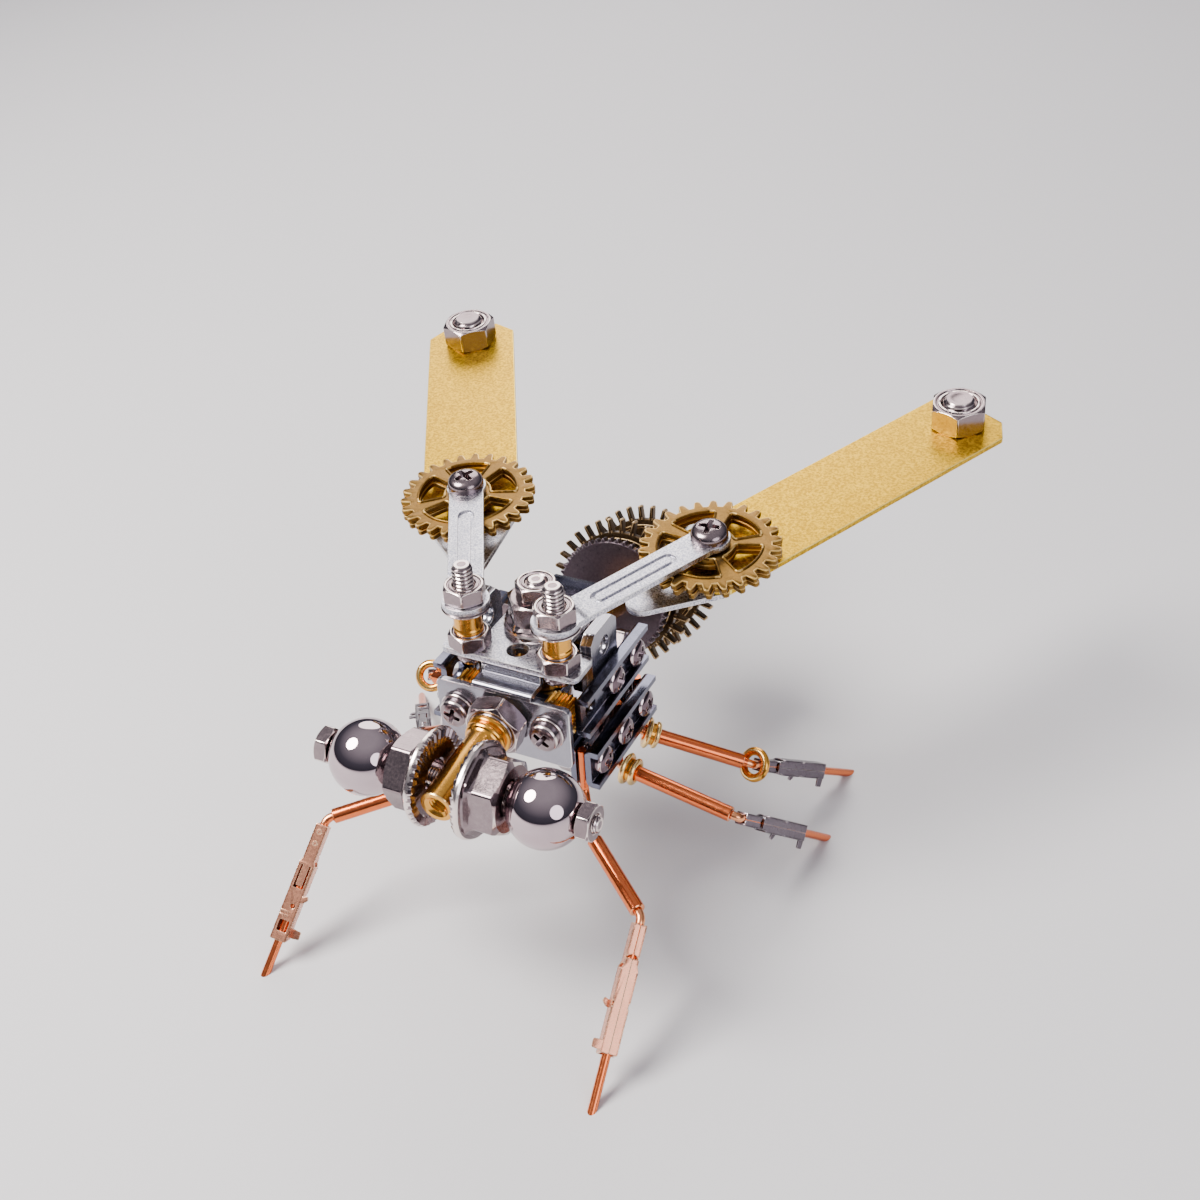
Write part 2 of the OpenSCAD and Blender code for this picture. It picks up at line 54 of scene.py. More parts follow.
SLOT_OF = {s["node"]: s["material_slot"] for s in frame["record"]["subparts"]}
SIDES = ("left", "right")


def joint_at(name):
    return Vector(JOINTS[name]["pos_m"]) / MM


def joint_axis(name):
    return Vector(JOINTS[name]["axis"])


# ---- Sizes, in millimetres, as in the frame ----
SHEET = 0.9
M3, M3_HOLE, M3_AF, NUT_H = 1.5, 1.6, 5.5, 2.4     # radii of thread and hole, width across flats, height
M4, M4_AF = 2, 7
M5, M5_AF = 2.5, 8
RUN = 0.05                  # clearance of what turns on a screw
CORE_Y = 7.75               # middle of the thorax, behind the pillars
CROWN_NUT_H = 5.2
CROWN_HOLE_Y = 1.05
PILLAR_X = joint_at("wing_swing_right").x
PILLAR_TOP = 13.4
CRADLE_X, CRADLE_FLOOR = 10.3, -11
FRAME_X, FRAME_TOP, FRAME_BOTTOM = 9.8, -11.9, -19.3
WIRE_D, SLEEVE_D = 1.3, 2.3
UPPER_WEB, LOWER_WEB = CRADLE_X, FRAME_X + WIRE_D + 4 * RUN
WIRE_X = 0.5 * (FRAME_X + LOWER_WEB)
CHANNEL_L, CHANNEL_H, CHANNEL_FLANGE, PITCH = 19.9, 6.5, 2.1, 7
ROW_Z = (-6.6, -15.7)       # heights of the upper and lower channels
FRONT_Y, FRONT_X, FRONT_Z, NECK_Z = -3.7, 7.2, -8.3, -7.65
AXLE_R, BALL_R, BALL_BORE = 1.25, 5.5, 1.3
BALL_X, EYE_NUT_X = 13.9, 20.3
TAIL_SEAT = -17.5           # the tail screw's head sits here, under its bracket's wall
DISC_LOW, DISC_TOP = -4, -2.5
TAIL_BORE, TAIL_SPACER_R, TAIL_GEAR_T = M4 + RUN, 3.2, 1.4
BLADE_TOP = -3              # below the arm's underside at the hub
BACKING_TOP = BLADE_TOP - SHEET - RUN

# ---- Frames: matrices in millimetres ----
CROWN = Vector((0, joint_at("wing_swing_right").y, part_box("crown_plate")[1].z / MM))
BODY = Matrix.Translation(CROWN)
STAND_H = CROWN.z
ARM_Z = joint_at("wing_swing_right").z - CROWN.z
SIDEWAYS = Matrix(((0, 0, 1, 0), (1, 0, 0, 0), (0, 1, 0, 0), (0, 0, 0, 1)))   # drawn in YZ, depth along X
UPRIGHT = Matrix.Rotation(pi / 2, 4, "X")                                      # drawn in XZ, depth along -Y
OUTWARD = Matrix.Rotation(pi / 2, 4, "Y")                                      # +Z becomes +X


def at(x=0, y=0, z=0):
    return Matrix.Translation((x, y, z))


def turn(degrees, axis="Z"):
    return Matrix.Rotation(radians(degrees), 4, axis)


def mirrored(side):
    return Matrix.Diagonal((side, 1, 1, 1))


def axis_frame(origin, along, up=Vector((0, 0, 1))):
    """Frame at origin with +Z on along, and +Y as near to up as it can be."""
    z = along.normalized()
    x = up.cross(z).normalized()
    return Matrix.Translation(origin) @ Matrix((x, z.cross(x), z)).transposed().to_4x4()


NECK_AXIS = joint_axis("head_roll")
NECK = axis_frame(joint_at("head_roll") - 2 * NECK_AXIS, NECK_AXIS)            # its +X is the figure's -X
EYES = 0.5 * (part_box("eye_balls")[0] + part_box("eye_balls")[1]) / MM
EYE_S = (NECK.inverted() @ EYES).z
AXLE = axis_frame(EYES, Vector((1, 0, 0)))
TAIL = axis_frame(joint_at("tail_gear_front_spin"), joint_axis("tail_gear_front_spin"))
TAIL_GAP = (joint_at("tail_gear_rear_spin") - joint_at("tail_gear_front_spin")).length


def wing_frame(name):
    """+Y runs along the wing from the pillar at the arm's underside, +Z is its top."""
    origin, hub = joint_at("wing_swing_" + name), joint_at("blade_swing_" + name)
    w = joint_axis("wing_gear_spin_" + name).normalized()
    if w.z < 0:
        w.negate()
    u = (hub - origin).normalized()
    return Matrix.Translation(origin) @ Matrix((u.cross(w), u, w)).transposed().to_4x4()


ARM_L = (joint_at("blade_swing_right") - joint_at("wing_swing_right")).length
TIP_U = 76.47               # from the pillar to the tip screw, along the wing


# ---- Outlines ----
def circle(x, y, r, n=32):
    return [(x + r * cos(tau * i / n), y + r * sin(tau * i / n)) for i in range(n)]


def arc(y, r, angles):
    """Points round (0, y) at the angles, in degrees."""
    return [(r * cos(radians(a)), y + r * sin(radians(a))) for a in angles]


def rounded(points, radius, n=5, closed=True):
    """The points with each corner taken off by an arc of up to that radius."""
    out = []
    count = len(points)
    for i, p in enumerate(points):
        if not closed and i in (0, count - 1):
            out.append(tuple(p))
            continue
        p, a, b = Vector(p), Vector(points[i - 1]), Vector(points[(i + 1) % count])
        r = radius[i] if isinstance(radius, (list, tuple)) else radius
        da, db = (a - p), (b - p)
        half = 0.5 * da.angle(db)
        reach = min(r / tan(half), 0.48 * da.length, 0.48 * db.length) if r > 0 else 0
        if reach < 1e-4 or half > 0.499 * pi:
            out.append(tuple(p))
            continue
        start, end = p + da.normalized() * reach, p + db.normalized() * reach
        for k in range(n + 1):
            t = k / n
            out.append(tuple((1 - t) ** 2 * start + 2 * t * (1 - t) * p + t * t * end))
    return out


def folded(path, t, radius):
    """Outline of a strip of sheet t thick whose middle follows the path, with round folds."""
    path = [Vector(p) for p in rounded(path, radius, 6, closed=False)]
    left, right = [], []
    for i, p in enumerate(path):
        before = (p - path[i - 1]).normalized() if i else None
        after = (path[i + 1] - p).normalized() if i < len(path) - 1 else before
        before = before or after
        mid = (before + after).normalized()
        reach = 0.5 * t / max(0.3, mid.dot(after))
        normal = Vector((-mid.y, mid.x)) * reach
        left.append(tuple(p + normal))
        right.append(tuple(p - normal))
    return left + right[::-1]


def gear_outline(teeth, root, tip, root_w, tip_w, roundness=4):
    """Gear with slim teeth that end in a low round."""
    loop = []
    half = 0.5 * tip_w
    rise = 0.8 * half
    fillet = root + 0.12 * (tip - root)
    for i in range(teeth):
        a = tau * i / teeth
        tooth = [(root, -0.5 * root_w), (fillet, -0.46 * root_w)]
        tooth += [(tip - rise + rise * sin(pi * k / roundness), -half * cos(pi * k / roundness))
                  for k in range(roundness + 1)]
        tooth += [(fillet, 0.46 * root_w), (root, 0.5 * root_w)]
        loop += [(r * cos(a) - w * sin(a), r * sin(a) + w * cos(a)) for r, w in tooth]
    return loop


def window_outline(r_in, r_out, half_a, middle_a, corner=0.9):
    """Ring sector with round corners, about the direction middle_a."""
    outer_steps, inner_steps = 8, 4
    outer = arc(0, r_out, [middle_a - half_a + 2 * half_a * k / outer_steps for k in range(outer_steps + 1)])
    inner = arc(0, r_in, [middle_a + half_a - 2 * half_a * k / inner_steps for k in range(inner_steps + 1)])
    points = outer + inner
    corners = (0, outer_steps, outer_steps + 1, len(points) - 1)
    return rounded(points, [corner if k in corners else 0 for k in range(len(points))], 4)


# ---- Solids ----
def mesh_of(bm):
    bmesh.ops.recalc_face_normals(bm, faces=bm.faces)
    mesh = bpy.data.meshes.new("solid")
    bm.to_mesh(mesh)
    bm.free()
    return mesh


def evaluated(data):
    """The mesh that a curve, or a mesh with its modifiers, comes to."""
    bpy.context.view_layer.update()
    graph = bpy.context.evaluated_depsgraph_get()
    return bpy.data.meshes.new_from_object(data.evaluated_get(graph))


def held(data):
    """A work object with that data."""
    holder = bpy.data.objects.new("work", data)
    bpy.context.scene.collection.objects.link(holder)
    return holder


def plate(loops, low, high, bevel=0.08):
    """Flat plate from low to high with the outline loops[0] and the holes after it, edges rounded."""
    curve = bpy.data.curves.new("outline", "CURVE")
    curve.dimensions = "2D"
    curve.fill_mode = "BOTH"
    curve.extrude = 0.5 * (high - low) - bevel
    curve.bevel_depth = bevel
    curve.bevel_resolution = 1
    curve.offset = -bevel
    for loop in loops:
        spline = curve.splines.new("POLY")
        spline.points.add(len(loop) - 1)
        for point, (x, y) in zip(spline.points, loop):
            point.co = (x, y, 0, 1)
        spline.use_cyclic_u = True
    holder = held(curve)
    mesh = evaluated(holder)
    bpy.data.objects.remove(holder)
    bm = bmesh.new()
    bm.from_mesh(mesh)
    bmesh.ops.remove_doubles(bm, verts=bm.verts, dist=0.002)
    bmesh.ops.translate(bm, verts=bm.verts, vec=(0, 0, 0.5 * (low + high)))
    return mesh_of(bm)


def carved(mesh, cutters, operation="DIFFERENCE"):
    """The mesh less the cutters, or the part of it inside them."""
    holder, tool = held(mesh), held(joined(cutters))
    modifier = holder.modifiers.new("carve", "BOOLEAN")
    modifier.object = tool
    modifier.operation = operation
    modifier.solver = "EXACT"
    result = evaluated(holder)
    bpy.data.objects.remove(holder)
    bpy.data.objects.remove(tool)
    return result


def softened(mesh, width=0.08, segments=2, angle=32):
    """The mesh with its sharp edges rounded off."""
    holder = held(mesh)
    modifier = holder.modifiers.new("soften", "BEVEL")
    modifier.width = width
    modifier.segments = segments
    modifier.limit_method = "ANGLE"
    modifier.angle_limit = radians(angle)
    modifier.use_clamp_overlap = True
    result = evaluated(holder)
    bpy.data.objects.remove(holder)
    return result


def turned(rings, n=48, closed=True, angles=None):
    """Solid of rings of (radius, height). A radius may be a function of the angle, and a height one of the
    angle and the radius. Radius 0 is a pole."""
    bm = bmesh.new()
    rows = []
    angles = angles or [tau * i / n for i in range(n)]
    n = len(angles)
    for radius, height in rings:
        if radius == 0:
            rows.append([bm.verts.new((0, 0, height))])
            continue
        row = []
        for a in angles:
            r = radius(a) if callable(radius) else radius
            z = height(a, r) if callable(height) else height
            row.append(bm.verts.new((r * cos(a), r * sin(a), z)))
        rows.append(row)
    pairs = list(zip(rows, rows[1:])) + ([(rows[-1], rows[0])] if closed else [])
    for low, high in pairs:
        for i in range(n):
            j = (i + 1) % n
            if len(low) == 1:
                bm.faces.new((low[0], high[j], high[i]))
            elif len(high) == 1:
                bm.faces.new((low[i], low[j], high[0]))
            else:
                bm.faces.new((low[i], low[j], high[j], high[i]))
    return mesh_of(bm)


def joined(parts):
    """One mesh of several (mesh, matrix) pairs."""
    bm = bmesh.new()
    for mesh, matrix in parts:
        copy = mesh.copy()
        copy.transform(matrix)
        bm.from_mesh(copy)
        bpy.data.meshes.remove(copy)
    return mesh_of(bm)


def tube(points, radius, n=20, bend=1.3):
    """Round bar through the points with round bends."""
    path = bent_path(points, bend)
    bm = bmesh.new()
    rows = []
    side = None
    for i, p in enumerate(path):
        ahead = path[min(i + 1, len(path) - 1)] - path[max(i - 1, 0)]
        ahead.normalize()
        if side is None:
            side = ahead.orthogonal().normalized()
        side = (side - ahead * side.dot(ahead)).normalized()
        other = ahead.cross(side)
        rows.append([bm.verts.new(p + radius * (cos(tau * k / n) * side + sin(tau * k / n) * other))
                     for k in range(n)])
    for low, high in zip(rows, rows[1:]):
        for k in range(n):
            bm.faces.new((low[k], low[(k + 1) % n], high[(k + 1) % n], high[k]))
    bm.faces.new(rows[0][::-1])
    bm.faces.new(rows[-1])
    return mesh_of(bm)


def bent_path(points, bend, n=8):
    """A path in space with round bends."""
    points = [Vector(p) for p in points]
    out = [points[0]]
    for a, p, b in zip(points, points[1:], points[2:]):
        da, db = (a - p), (b - p)
        reach = min(bend, 0.45 * da.length, 0.45 * db.length)
        start, end = p + da.normalized() * reach, p + db.normalized() * reach
        for k in range(n + 1):
            t = k / n
            out.append((1 - t) ** 2 * start + 2 * t * (1 - t) * p + t * t * end)
    return out + [points[-1]]


def bead(points, radius, n=8):
    """Closed round bead along the points."""
    path = [Vector(p) for p in points]
    bm = bmesh.new()
    rows = []
    for i, p in enumerate(path):
        ahead = (path[(i + 1) % len(path)] - path[i - 1]).normalized()
        side = Vector((-ahead.y, ahead.x, 0))
        rows.append([bm.verts.new(p + radius * (cos(tau * k / n) * side + Vector((0, 0, sin(tau * k / n)))))
                     for k in range(n)])
    for low, high in zip(rows, rows[1:] + rows[:1]):
        for k in range(n):
            bm.faces.new((low[k], low[(k + 1) % n], high[(k + 1) % n], high[k]))
    return mesh_of(bm)


# ---- Fasteners ----
HEX_ANGLES = [radians(60 * side + a) for side in range(6) for a in (1.4, 8, 15, 22, 30, 38, 45, 52, 58.6)]


def hexagon(af, blunt=1.0):
    """Radius of a hexagon at each angle, with a corner at angle 0 that may be taken off a little."""
    return lambda a: min(0.5 * af / cos(a % (pi / 3) - pi / 6), blunt * 0.5 * af / cos(pi / 6))


def nut(af, bore, h, ringed=False):
    """Hexagon nut with both ends chamfered; a ringed one has a fine groove round its bore."""
    hexa = hexagon(af)
    shoulder = 0.485 * af
    slope = tan(radians(30))
    lip = 0.05 * af

    def low(a, r):
        return slope * max(0, r - shoulder)

    def high(a, r):
        return h - slope * max(0, r - shoulder)

    rings = [(bore, lip), (bore + lip, 0), (shoulder, 0), (hexa, low), (hexa, high), (shoulder, h)]
    if ringed:
        groove = 0.5 * (bore + shoulder) + 0.12
        rings += [(groove + 0.26, h), (groove + 0.18, h - 0.2), (groove - 0.06, h - 0.2), (groove - 0.14, h)]
    rings += [(bore + lip, h), (bore, h - lip)]
    return softened(turned(rings, angles=HEX_ANGLES), 0.035, 2, 25)


def flange_nut(flange_r, af, bore, h, wave=0.0, teeth=0):
    """Flange nut: a thick round rim, a cone up to the hexagon, a chamfered end and teeth under the rim."""
    hexa = hexagon(af, 0.985)
    t = 0.15 * h
    shoulder = 0.47 * af

    def rim(k):
        return lambda a: flange_r * k - wave * (0.5 - 0.5 * cos(6 * a))

    def foot(a):
        return hexa(a) + 0.04 * af * (1 - abs(sin(3 * a)))

    def end(a, r):
        return h - tan(radians(28)) * max(0, r - shoulder)

    def tooth(a, r):
        return 0.32 * (teeth * a / tau % 1) if teeth else 0

    rings = [(bore, 0.5), (bore + 0.25, 0.3), (0.76 * flange_r, 0.3), (rim(0.80), tooth), (rim(0.96), tooth),
             (rim(0.99), 0.55 * t), (rim(1), 0.8 * t), (rim(0.995), 1.2 * t), (rim(0.96), 1.5 * t),
             (rim(0.90), 1.65 * t), (lambda a: max(0.5 * flange_r + 0.5 * foot(a), foot(a)), 1.95 * t),
             (foot, 2.3 * t), (hexa, 2.8 * t), (hexa, end), (shoulder, h), (bore + 0.45, h),
             (bore, h - 0.35)]
    return turned(rings, 216)


def thread(r, length, pitch, end=0.5, n=32):
    """Threaded bar up from z = 0 with a chamfered top."""
    depth = 0.5 * pitch
    steps = max(4, round(6 * length / pitch))

    def ring(z):
        def radius(a):
            wave = (z / pitch - a / tau) % 1
            crest = min(1, 2.6 * min(wave, 1 - wave))
            return min(r - depth * (1 - crest), r - max(0, z - (length - end)) * 0.9)
        return radius

    rings = [(0, 0)] + [(ring(length * k / steps), length * k / steps) for k in range(steps + 1)]
    return turned(rings + [(0.45 * r, length), (0, length - 0.12 * r)], n, closed=False)


def cross_cutter(reach, depth, top):
    """Tapered cross that sinks depth below top."""
    bm = bmesh.new()

    def ring(size, arm, z):
        corners = [(size, -arm), (size, arm), (arm, arm)]
        return [bm.verts.new(turn(90 * q) @ Vector((x, y, z))) for q in range(4) for x, y in corners]

    lower, upper = ring(0.5 * reach, 0.16 * reach, top - depth), ring(1.08 * reach, 0.27 * reach, top + 0.4)
    for k in range(12):
        j = (k + 1) % 12
        bm.faces.new((lower[k], lower[j], upper[j], upper[k]))
    bm.faces.new(lower[::-1])
    bm.faces.new(upper)
    return mesh_of(bm)


def screw_head(r, h, dome, ring=False):
    """Cross-recess head up from z = 0: a domed one, or a pan head whose foot is a wider ring."""
    rings = [(0, 0), (0.97 * r, 0)]
    if ring:
        body = 0.86 * r
        rings += [(r, 0.06 * h), (r, 0.24 * h), (0.96 * r, 0.3 * h), (body, 0.32 * h), (body, 0.62 * h)]
    else:
        body = r
        rings += [(r, 0.05 * h), (r, 0.3 * h)]
    base = rings[-1][1]
    for k in range(1, 9):
        t = k / 9 * pi / 2
        rings.append((body * cos(t) ** dome, base + (h - base) * sin(t)))
    rings.append((0, h))
    return softened(carved(turned(rings, 56, closed=False),
                           [(cross_cutter(0.64 * body, 0.62 * h, h), turn(20))]), 0.04, 2, 40)


def washer(r, bore, t):
    e = min(0.18, 0.35 * t)
    return turned([(bore, e), (bore + e, 0), (r - e, 0), (r, e), (r, t - e), (r - e, t), (bore + e, t),
                   (bore, t - e)], 64)


# ---- Materials ----
def link(tree, source, target):
    tree.links.new(source, target)


def noise(tree, coords, scale, detail, roughness=0.6):
    node = tree.nodes.new("ShaderNodeTexNoise")
    node.inputs["Scale"].default_value = scale
    node.inputs["Detail"].default_value = detail
    node.inputs["Roughness"].default_value = roughness
    link(tree, coords, node.inputs["Vector"])
    return node.outputs["Fac"]


def spread(tree, value, low, high, to_low=0.0, to_high=1.0):
    node = tree.nodes.new("ShaderNodeMapRange")
    for name, number in (("From Min", low), ("From Max", high), ("To Min", to_low), ("To Max", to_high)):
        node.inputs[name].default_value = number
    link(tree, value, node.inputs["Value"])
    return node.outputs["Result"]


def blend(tree, share, a, b):
    """a where share is 0, b where it is 1; each is a colour or a socket."""
    node = tree.nodes.new("ShaderNodeMix")
    node.data_type = "RGBA"
    link(tree, share, node.inputs["Factor"])
    for index, value in ((6, a), (7, b)):
        if isinstance(value, tuple):
            node.inputs[index].default_value = value + (1,)
        else:
            link(tree, value, node.inputs[index])
    return node.outputs[2]


GRAIN_DEPTH = 0.00003       # metres


def metal(name, base, deep, worn_and_highlight, rough=(0.2, 0.35), grain=4000, speckle=0.5, blotch=350, bump=0.15,
          metallic=1.0, edge_wear_and_highlight=0.8):
    """Metal with a fine grain between base and deep, soft blotches, and bright edges that are partly real
    wear and partly a painted highlight.
    """
    look = bpy.data.materials.new(name)
    look.use_nodes = True
    tree = look.node_tree
    shader = tree.nodes["Principled BSDF"]
    shader.inputs["Metallic"].default_value = metallic
    place = tree.nodes.new("ShaderNodeTexCoord").outputs["Object"]
    fine = noise(tree, place, grain, 3)
    broad = noise(tree, place, blotch, 4)
    reach = 0.25 / speckle
    colour = blend(tree, spread(tree, fine, 0.5 - reach, 0.5 + reach), deep, base)
    colour = blend(tree, spread(tree, broad, 0.35, 0.75, 0, 0.45), colour, deep)
    # bright edges: partly real wear, partly a painted highlight
    edge = tree.nodes.new("ShaderNodeAttribute")
    edge.attribute_name = "edge_wear_and_highlight"
    colour = blend(tree, spread(tree, edge.outputs["Fac"], 0, 1, 0, edge_wear_and_highlight), colour, worn_and_highlight)
    link(tree, colour, shader.inputs["Base Color"])
    link(tree, spread(tree, fine, 0.25, 0.75, *rough), shader.inputs["Roughness"])
    relief = tree.nodes.new("ShaderNodeBump")
    relief.inputs["Strength"].default_value = bump
    relief.inputs["Distance"].default_value = GRAIN_DEPTH
    link(tree, fine, relief.inputs["Height"])
    link(tree, relief.outputs["Normal"], shader.inputs["Normal"])
    return look


LOOKS = {
    "galvanised_plate": metal("galvanised_plate", (0.86, 0.84, 0.88), (0.30, 0.31, 0.38), (1.0, 1.0, 1.0),
                              (0.22, 0.42), grain=3900, speckle=2.6, blotch=500, bump=0.9),
    "dark_bracket": metal("dark_bracket", (0.22, 0.225, 0.29), (0.11, 0.115, 0.16), (0.90, 0.92, 1.0),
                          (0.12, 0.24), grain=3000, speckle=0.6, blotch=260, bump=0.06),
    "plated_steel": metal("plated_steel", (0.38, 0.305, 0.31), (0.20, 0.155, 0.17), (1.0, 0.88, 0.82),
                          (0.14, 0.26), grain=2600, speckle=0.6, blotch=420, bump=0.05),
    "brass": metal("brass", (0.88, 0.47, 0.09), (0.66, 0.30, 0.04), (1.0, 0.76, 0.34),
                   (0.18, 0.28), grain=2600, speckle=0.5, blotch=300, bump=0.04),
    "antique_brass": metal("antique_brass", (0.31, 0.17, 0.035), (0.12, 0.065, 0.015), (0.90, 0.60, 0.20),
                           (0.26, 0.44), grain=2600, speckle=0.9, blotch=600, bump=0.25),
    "gunmetal": metal("gunmetal", (0.17, 0.13, 0.15), (0.09, 0.07, 0.085), (0.36, 0.30, 0.33),
                      (0.26, 0.40), grain=2600, speckle=0.8, blotch=300, bump=0.15),
    "chrome_ball": metal("chrome_ball", (0.58, 0.47, 0.49), (0.46, 0.37, 0.40), (0.8, 0.74, 0.75),
                         (0.02, 0.06), grain=900, speckle=0.3, blotch=150, bump=0.01),
    "copper": metal("copper", (0.90, 0.24, 0.08), (0.66, 0.15, 0.05), (1.0, 0.45, 0.22),
                    (0.16, 0.26), grain=1800, speckle=0.3, blotch=250, bump=0.02),
    "tinned": metal("tinned", (0.94, 0.43, 0.26), (0.54, 0.24, 0.15), (1.0, 0.70, 0.45),
                    (0.20, 0.34), grain=2600, speckle=0.5, blotch=500, bump=0.04, metallic=0.82),
}
BRIGHT_BRACKET = metal("bright_bracket", (0.40, 0.39, 0.44), (0.27, 0.27, 0.31), (1.0, 0.97, 0.97),
                       (0.15, 0.25), grain=3000, speckle=0.4, blotch=300, bump=0.04, metallic=0.95)
# Screw steel made dark to stand in for the dark surroundings that the side screw heads reflect, a painted
# reflection, with pink painted highlights on their edges.
SIDE_SCREW_PAINTED_REFLECTION = metal("side_screw", (0.22, 0.165, 0.185), (0.12, 0.085, 0.10), (0.95, 0.80, 0.78),
                        (0.08, 0.18), grain=2600, speckle=0.6, blotch=420, bump=0.05)
BLADE_LOOK = metal("brass_blade", (0.80, 0.50, 0.02), (0.38, 0.21, 0.0), (1.0, 0.80, 0.22),
                   (0.28, 0.46), grain=2400, speckle=2.4, blotch=650, bump=0.8)
# Antique brass darkened for the tail gears to stand in for the shade and dark reflections they sit in:
# painted shade, with painted highlights on the teeth edges.
BRASS_PAINTED_SHADE = metal("brass_painted_shade", (0.13, 0.08, 0.035), (0.05, 0.032, 0.018), (0.60, 0.42, 0.22),
                   (0.28, 0.44), grain=2600, speckle=0.9, blotch=500, bump=0.25, edge_wear_and_highlight=0.9)
# The terminals' tinned look darkened for the middle and rear legs, which sit in shade under the body:
# painted shade.
TINNED_PAINTED_SHADE = metal("tinned_painted_shade", (0.20, 0.17, 0.20), (0.11, 0.09, 0.11), (0.55, 0.50, 0.53),
                    (0.24, 0.38), grain=2600, speckle=0.6, blotch=500, bump=0.08, edge_wear_and_highlight=0.6)


# ---- Pieces ----
# Edge faces narrower than this and folded outward at least this much get the bright edge colour, partly real
# wear and partly a painted highlight.
WEAR_HIGHLIGHT_WIDTH, WEAR_HIGHLIGHT_FOLD = 0.13, radians(9)


def mark_edges(mesh):
    """Sets a face attribute to 1 on the narrow outward faces that round off an edge: the mask for bright
    edges that are partly real wear and partly a painted highlight.
    """
    bm = bmesh.new()
    bm.from_mesh(mesh)
    layer = bm.faces.layers.float.new("edge_wear_and_highlight")
    for face in bm.faces:
        border = max(sum(e.calc_length() for e in face.edges), 1e-6)
        width = 2 * face.calc_area() / border
        fold = sum(e.calc_length() * e.calc_face_angle_signed(0) for e in face.edges) / border
        face[layer] = 1.0 if width < WEAR_HIGHLIGHT_WIDTH and fold > WEAR_HIGHLIGHT_FOLD else 0.0
    bm.to_mesh(mesh)
    bm.free()


def piece(node, parts, look=None, name=None, stands_for=True):
    """One visible piece that stands for a CAD node, from (mesh, matrix) parts in millimetres."""
    mesh = joined(parts)
    mark_edges(mesh)
    mesh.transform(Matrix.Scale(MM, 4))
    mesh.polygons.foreach_set("use_smooth", [True] * len(mesh.polygons))
    mesh.set_sharp_from_angle(angle=radians(28))
    obj = bpy.data.objects.new(name or node + "_v", mesh)
    bpy.context.scene.collection.objects.link(obj)
    mesh.materials.append(look or LOOKS[SLOT_OF[node]])
    modifier = obj.modifiers.new("normals", "WEIGHTED_NORMAL")
    modifier.keep_sharp = True
    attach(obj, BODY_OF[node])
    if stands_for:
        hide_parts(node)
    return obj


def pin(r, reach=60):
    """Cutter for a hole along Z that reaches that far both ways."""
    return turned([(0, -reach), (r, -reach), (r, reach), (0, reach)], 36, closed=False)


def drill(x, y, r):
    return pin(r), at(x, y)


# Thorax plates
def crown_plate():
    shape = rounded([(-10.9, -2.3), (10.9, -2.3), (10.9, 3.5), (6, 3.5), (6, 13), (-6, 13), (-6, 3.5),
                     (-10.9, 3.5)], [1.3, 1.3, 1.3, 0.5, 1.3, 1.3, 0.5, 1.3])
    holes = [circle(-PILLAR_X, 0, M3_HOLE), circle(PILLAR_X, 0, M3_HOLE), circle(0, CROWN_HOLE_Y, M3_HOLE),
             circle(0, CORE_Y, M3_HOLE)]
    piece("crown_plate", [(plate([shape] + holes, -SHEET, 0, 0.1), BODY)])


def front_bracket():
    """Front wall, and a strip that steps back from its top and runs under the crown plate."""
    wall_top = -3.9
    wall = rounded([(-10.6, -14.2), (10.6, -14.2), (10.6, wall_top), (-10.6, wall_top)], 1.1)
    holes = [circle(-FRONT_X, FRONT_Z, M3_HOLE), circle(FRONT_X, FRONT_Z, M3_HOLE), circle(0, NECK_Z, 3)]
    front = plate([wall] + holes, -FRONT_Y, SHEET - FRONT_Y, 0.1)
    half = 0.5 * SHEET
    front_y, step_y, step_z, shelf_z = FRONT_Y - half, half - 1.5, wall_top + half, half - 2 * SHEET
    step = folded([(front_y, wall_top - 0.05), (front_y, step_z), (step_y, step_z), (step_y, shelf_z),
                   (12, shelf_z)], SHEET, 0.6)
    strip = plate([step], -4.7, 4.7, 0.1)
    strip = carved(strip, [(mesh, SIDEWAYS.inverted() @ matrix)
                           for mesh, matrix in (drill(0, CROWN_HOLE_Y, M3_HOLE), drill(0, CORE_Y, M3_HOLE))])
    piece("front_bracket", [(front, BODY @ UPRIGHT), (strip, BODY @ SIDEWAYS)], BRIGHT_BRACKET)


def cradle(node, x_out, floor, top):
    """U bracket with upright ears: a folded strip, trimmed to the outline that its sides have."""
    half = 0.5 * SHEET
    bow = folded([(half - x_out, top), (half - x_out, floor + half), (x_out - half, floor + half),
                  (x_out - half, top)], SHEET, 1.0)
    ears = rounded([(-4, floor - 1), (4, floor - 1), (4, top - 1.3), (2.7, top), (-2.7, top),
                    (-4, top - 1.3)], [0, 0, 0.4, 0.5, 0.5, 0.4])
    solid = joined([(plate([bow], -9, 9, 0), at(0, CORE_Y) @ UPRIGHT)])
    solid = carved(solid, [(plate([ears], -20, 20, 0), at(0, CORE_Y) @ SIDEWAYS)], "INTERSECT")
    across = [(pin(r), at(0, CORE_Y, z) @ OUTWARD) for r, z in ((M3, -0.8), (M3_HOLE, ROW_Z[0]))]
    solid = carved(solid, across + [(pin(M3_HOLE, 2), at(0, CORE_Y, floor))])
    piece(node, [(softened(solid, 0.1), BODY)], BRIGHT_BRACKET)


def leg_frame():
    half = 0.5 * SHEET
    wall, roof = FRAME_X - half, FRAME_TOP - half
    bow = folded([(-wall, FRAME_BOTTOM), (-wall, roof), (wall, roof), (wall, FRAME_BOTTOM)], SHEET, 0.9)
    solid = joined([(plate([bow], -0.5 * CHANNEL_L, 0.5 * CHANNEL_L, 0), at(0, CORE_Y) @ UPRIGHT)])
    across = [(pin(M3_HOLE), at(0, CORE_Y + i * PITCH, ROW_Z[1]) @ OUTWARD) for i in (-1, 0, 1)]
    solid = carved(solid, across + [drill(0, CORE_Y, M3_HOLE)])
    piece("leg_frame", [(softened(solid, 0.1), BODY)])


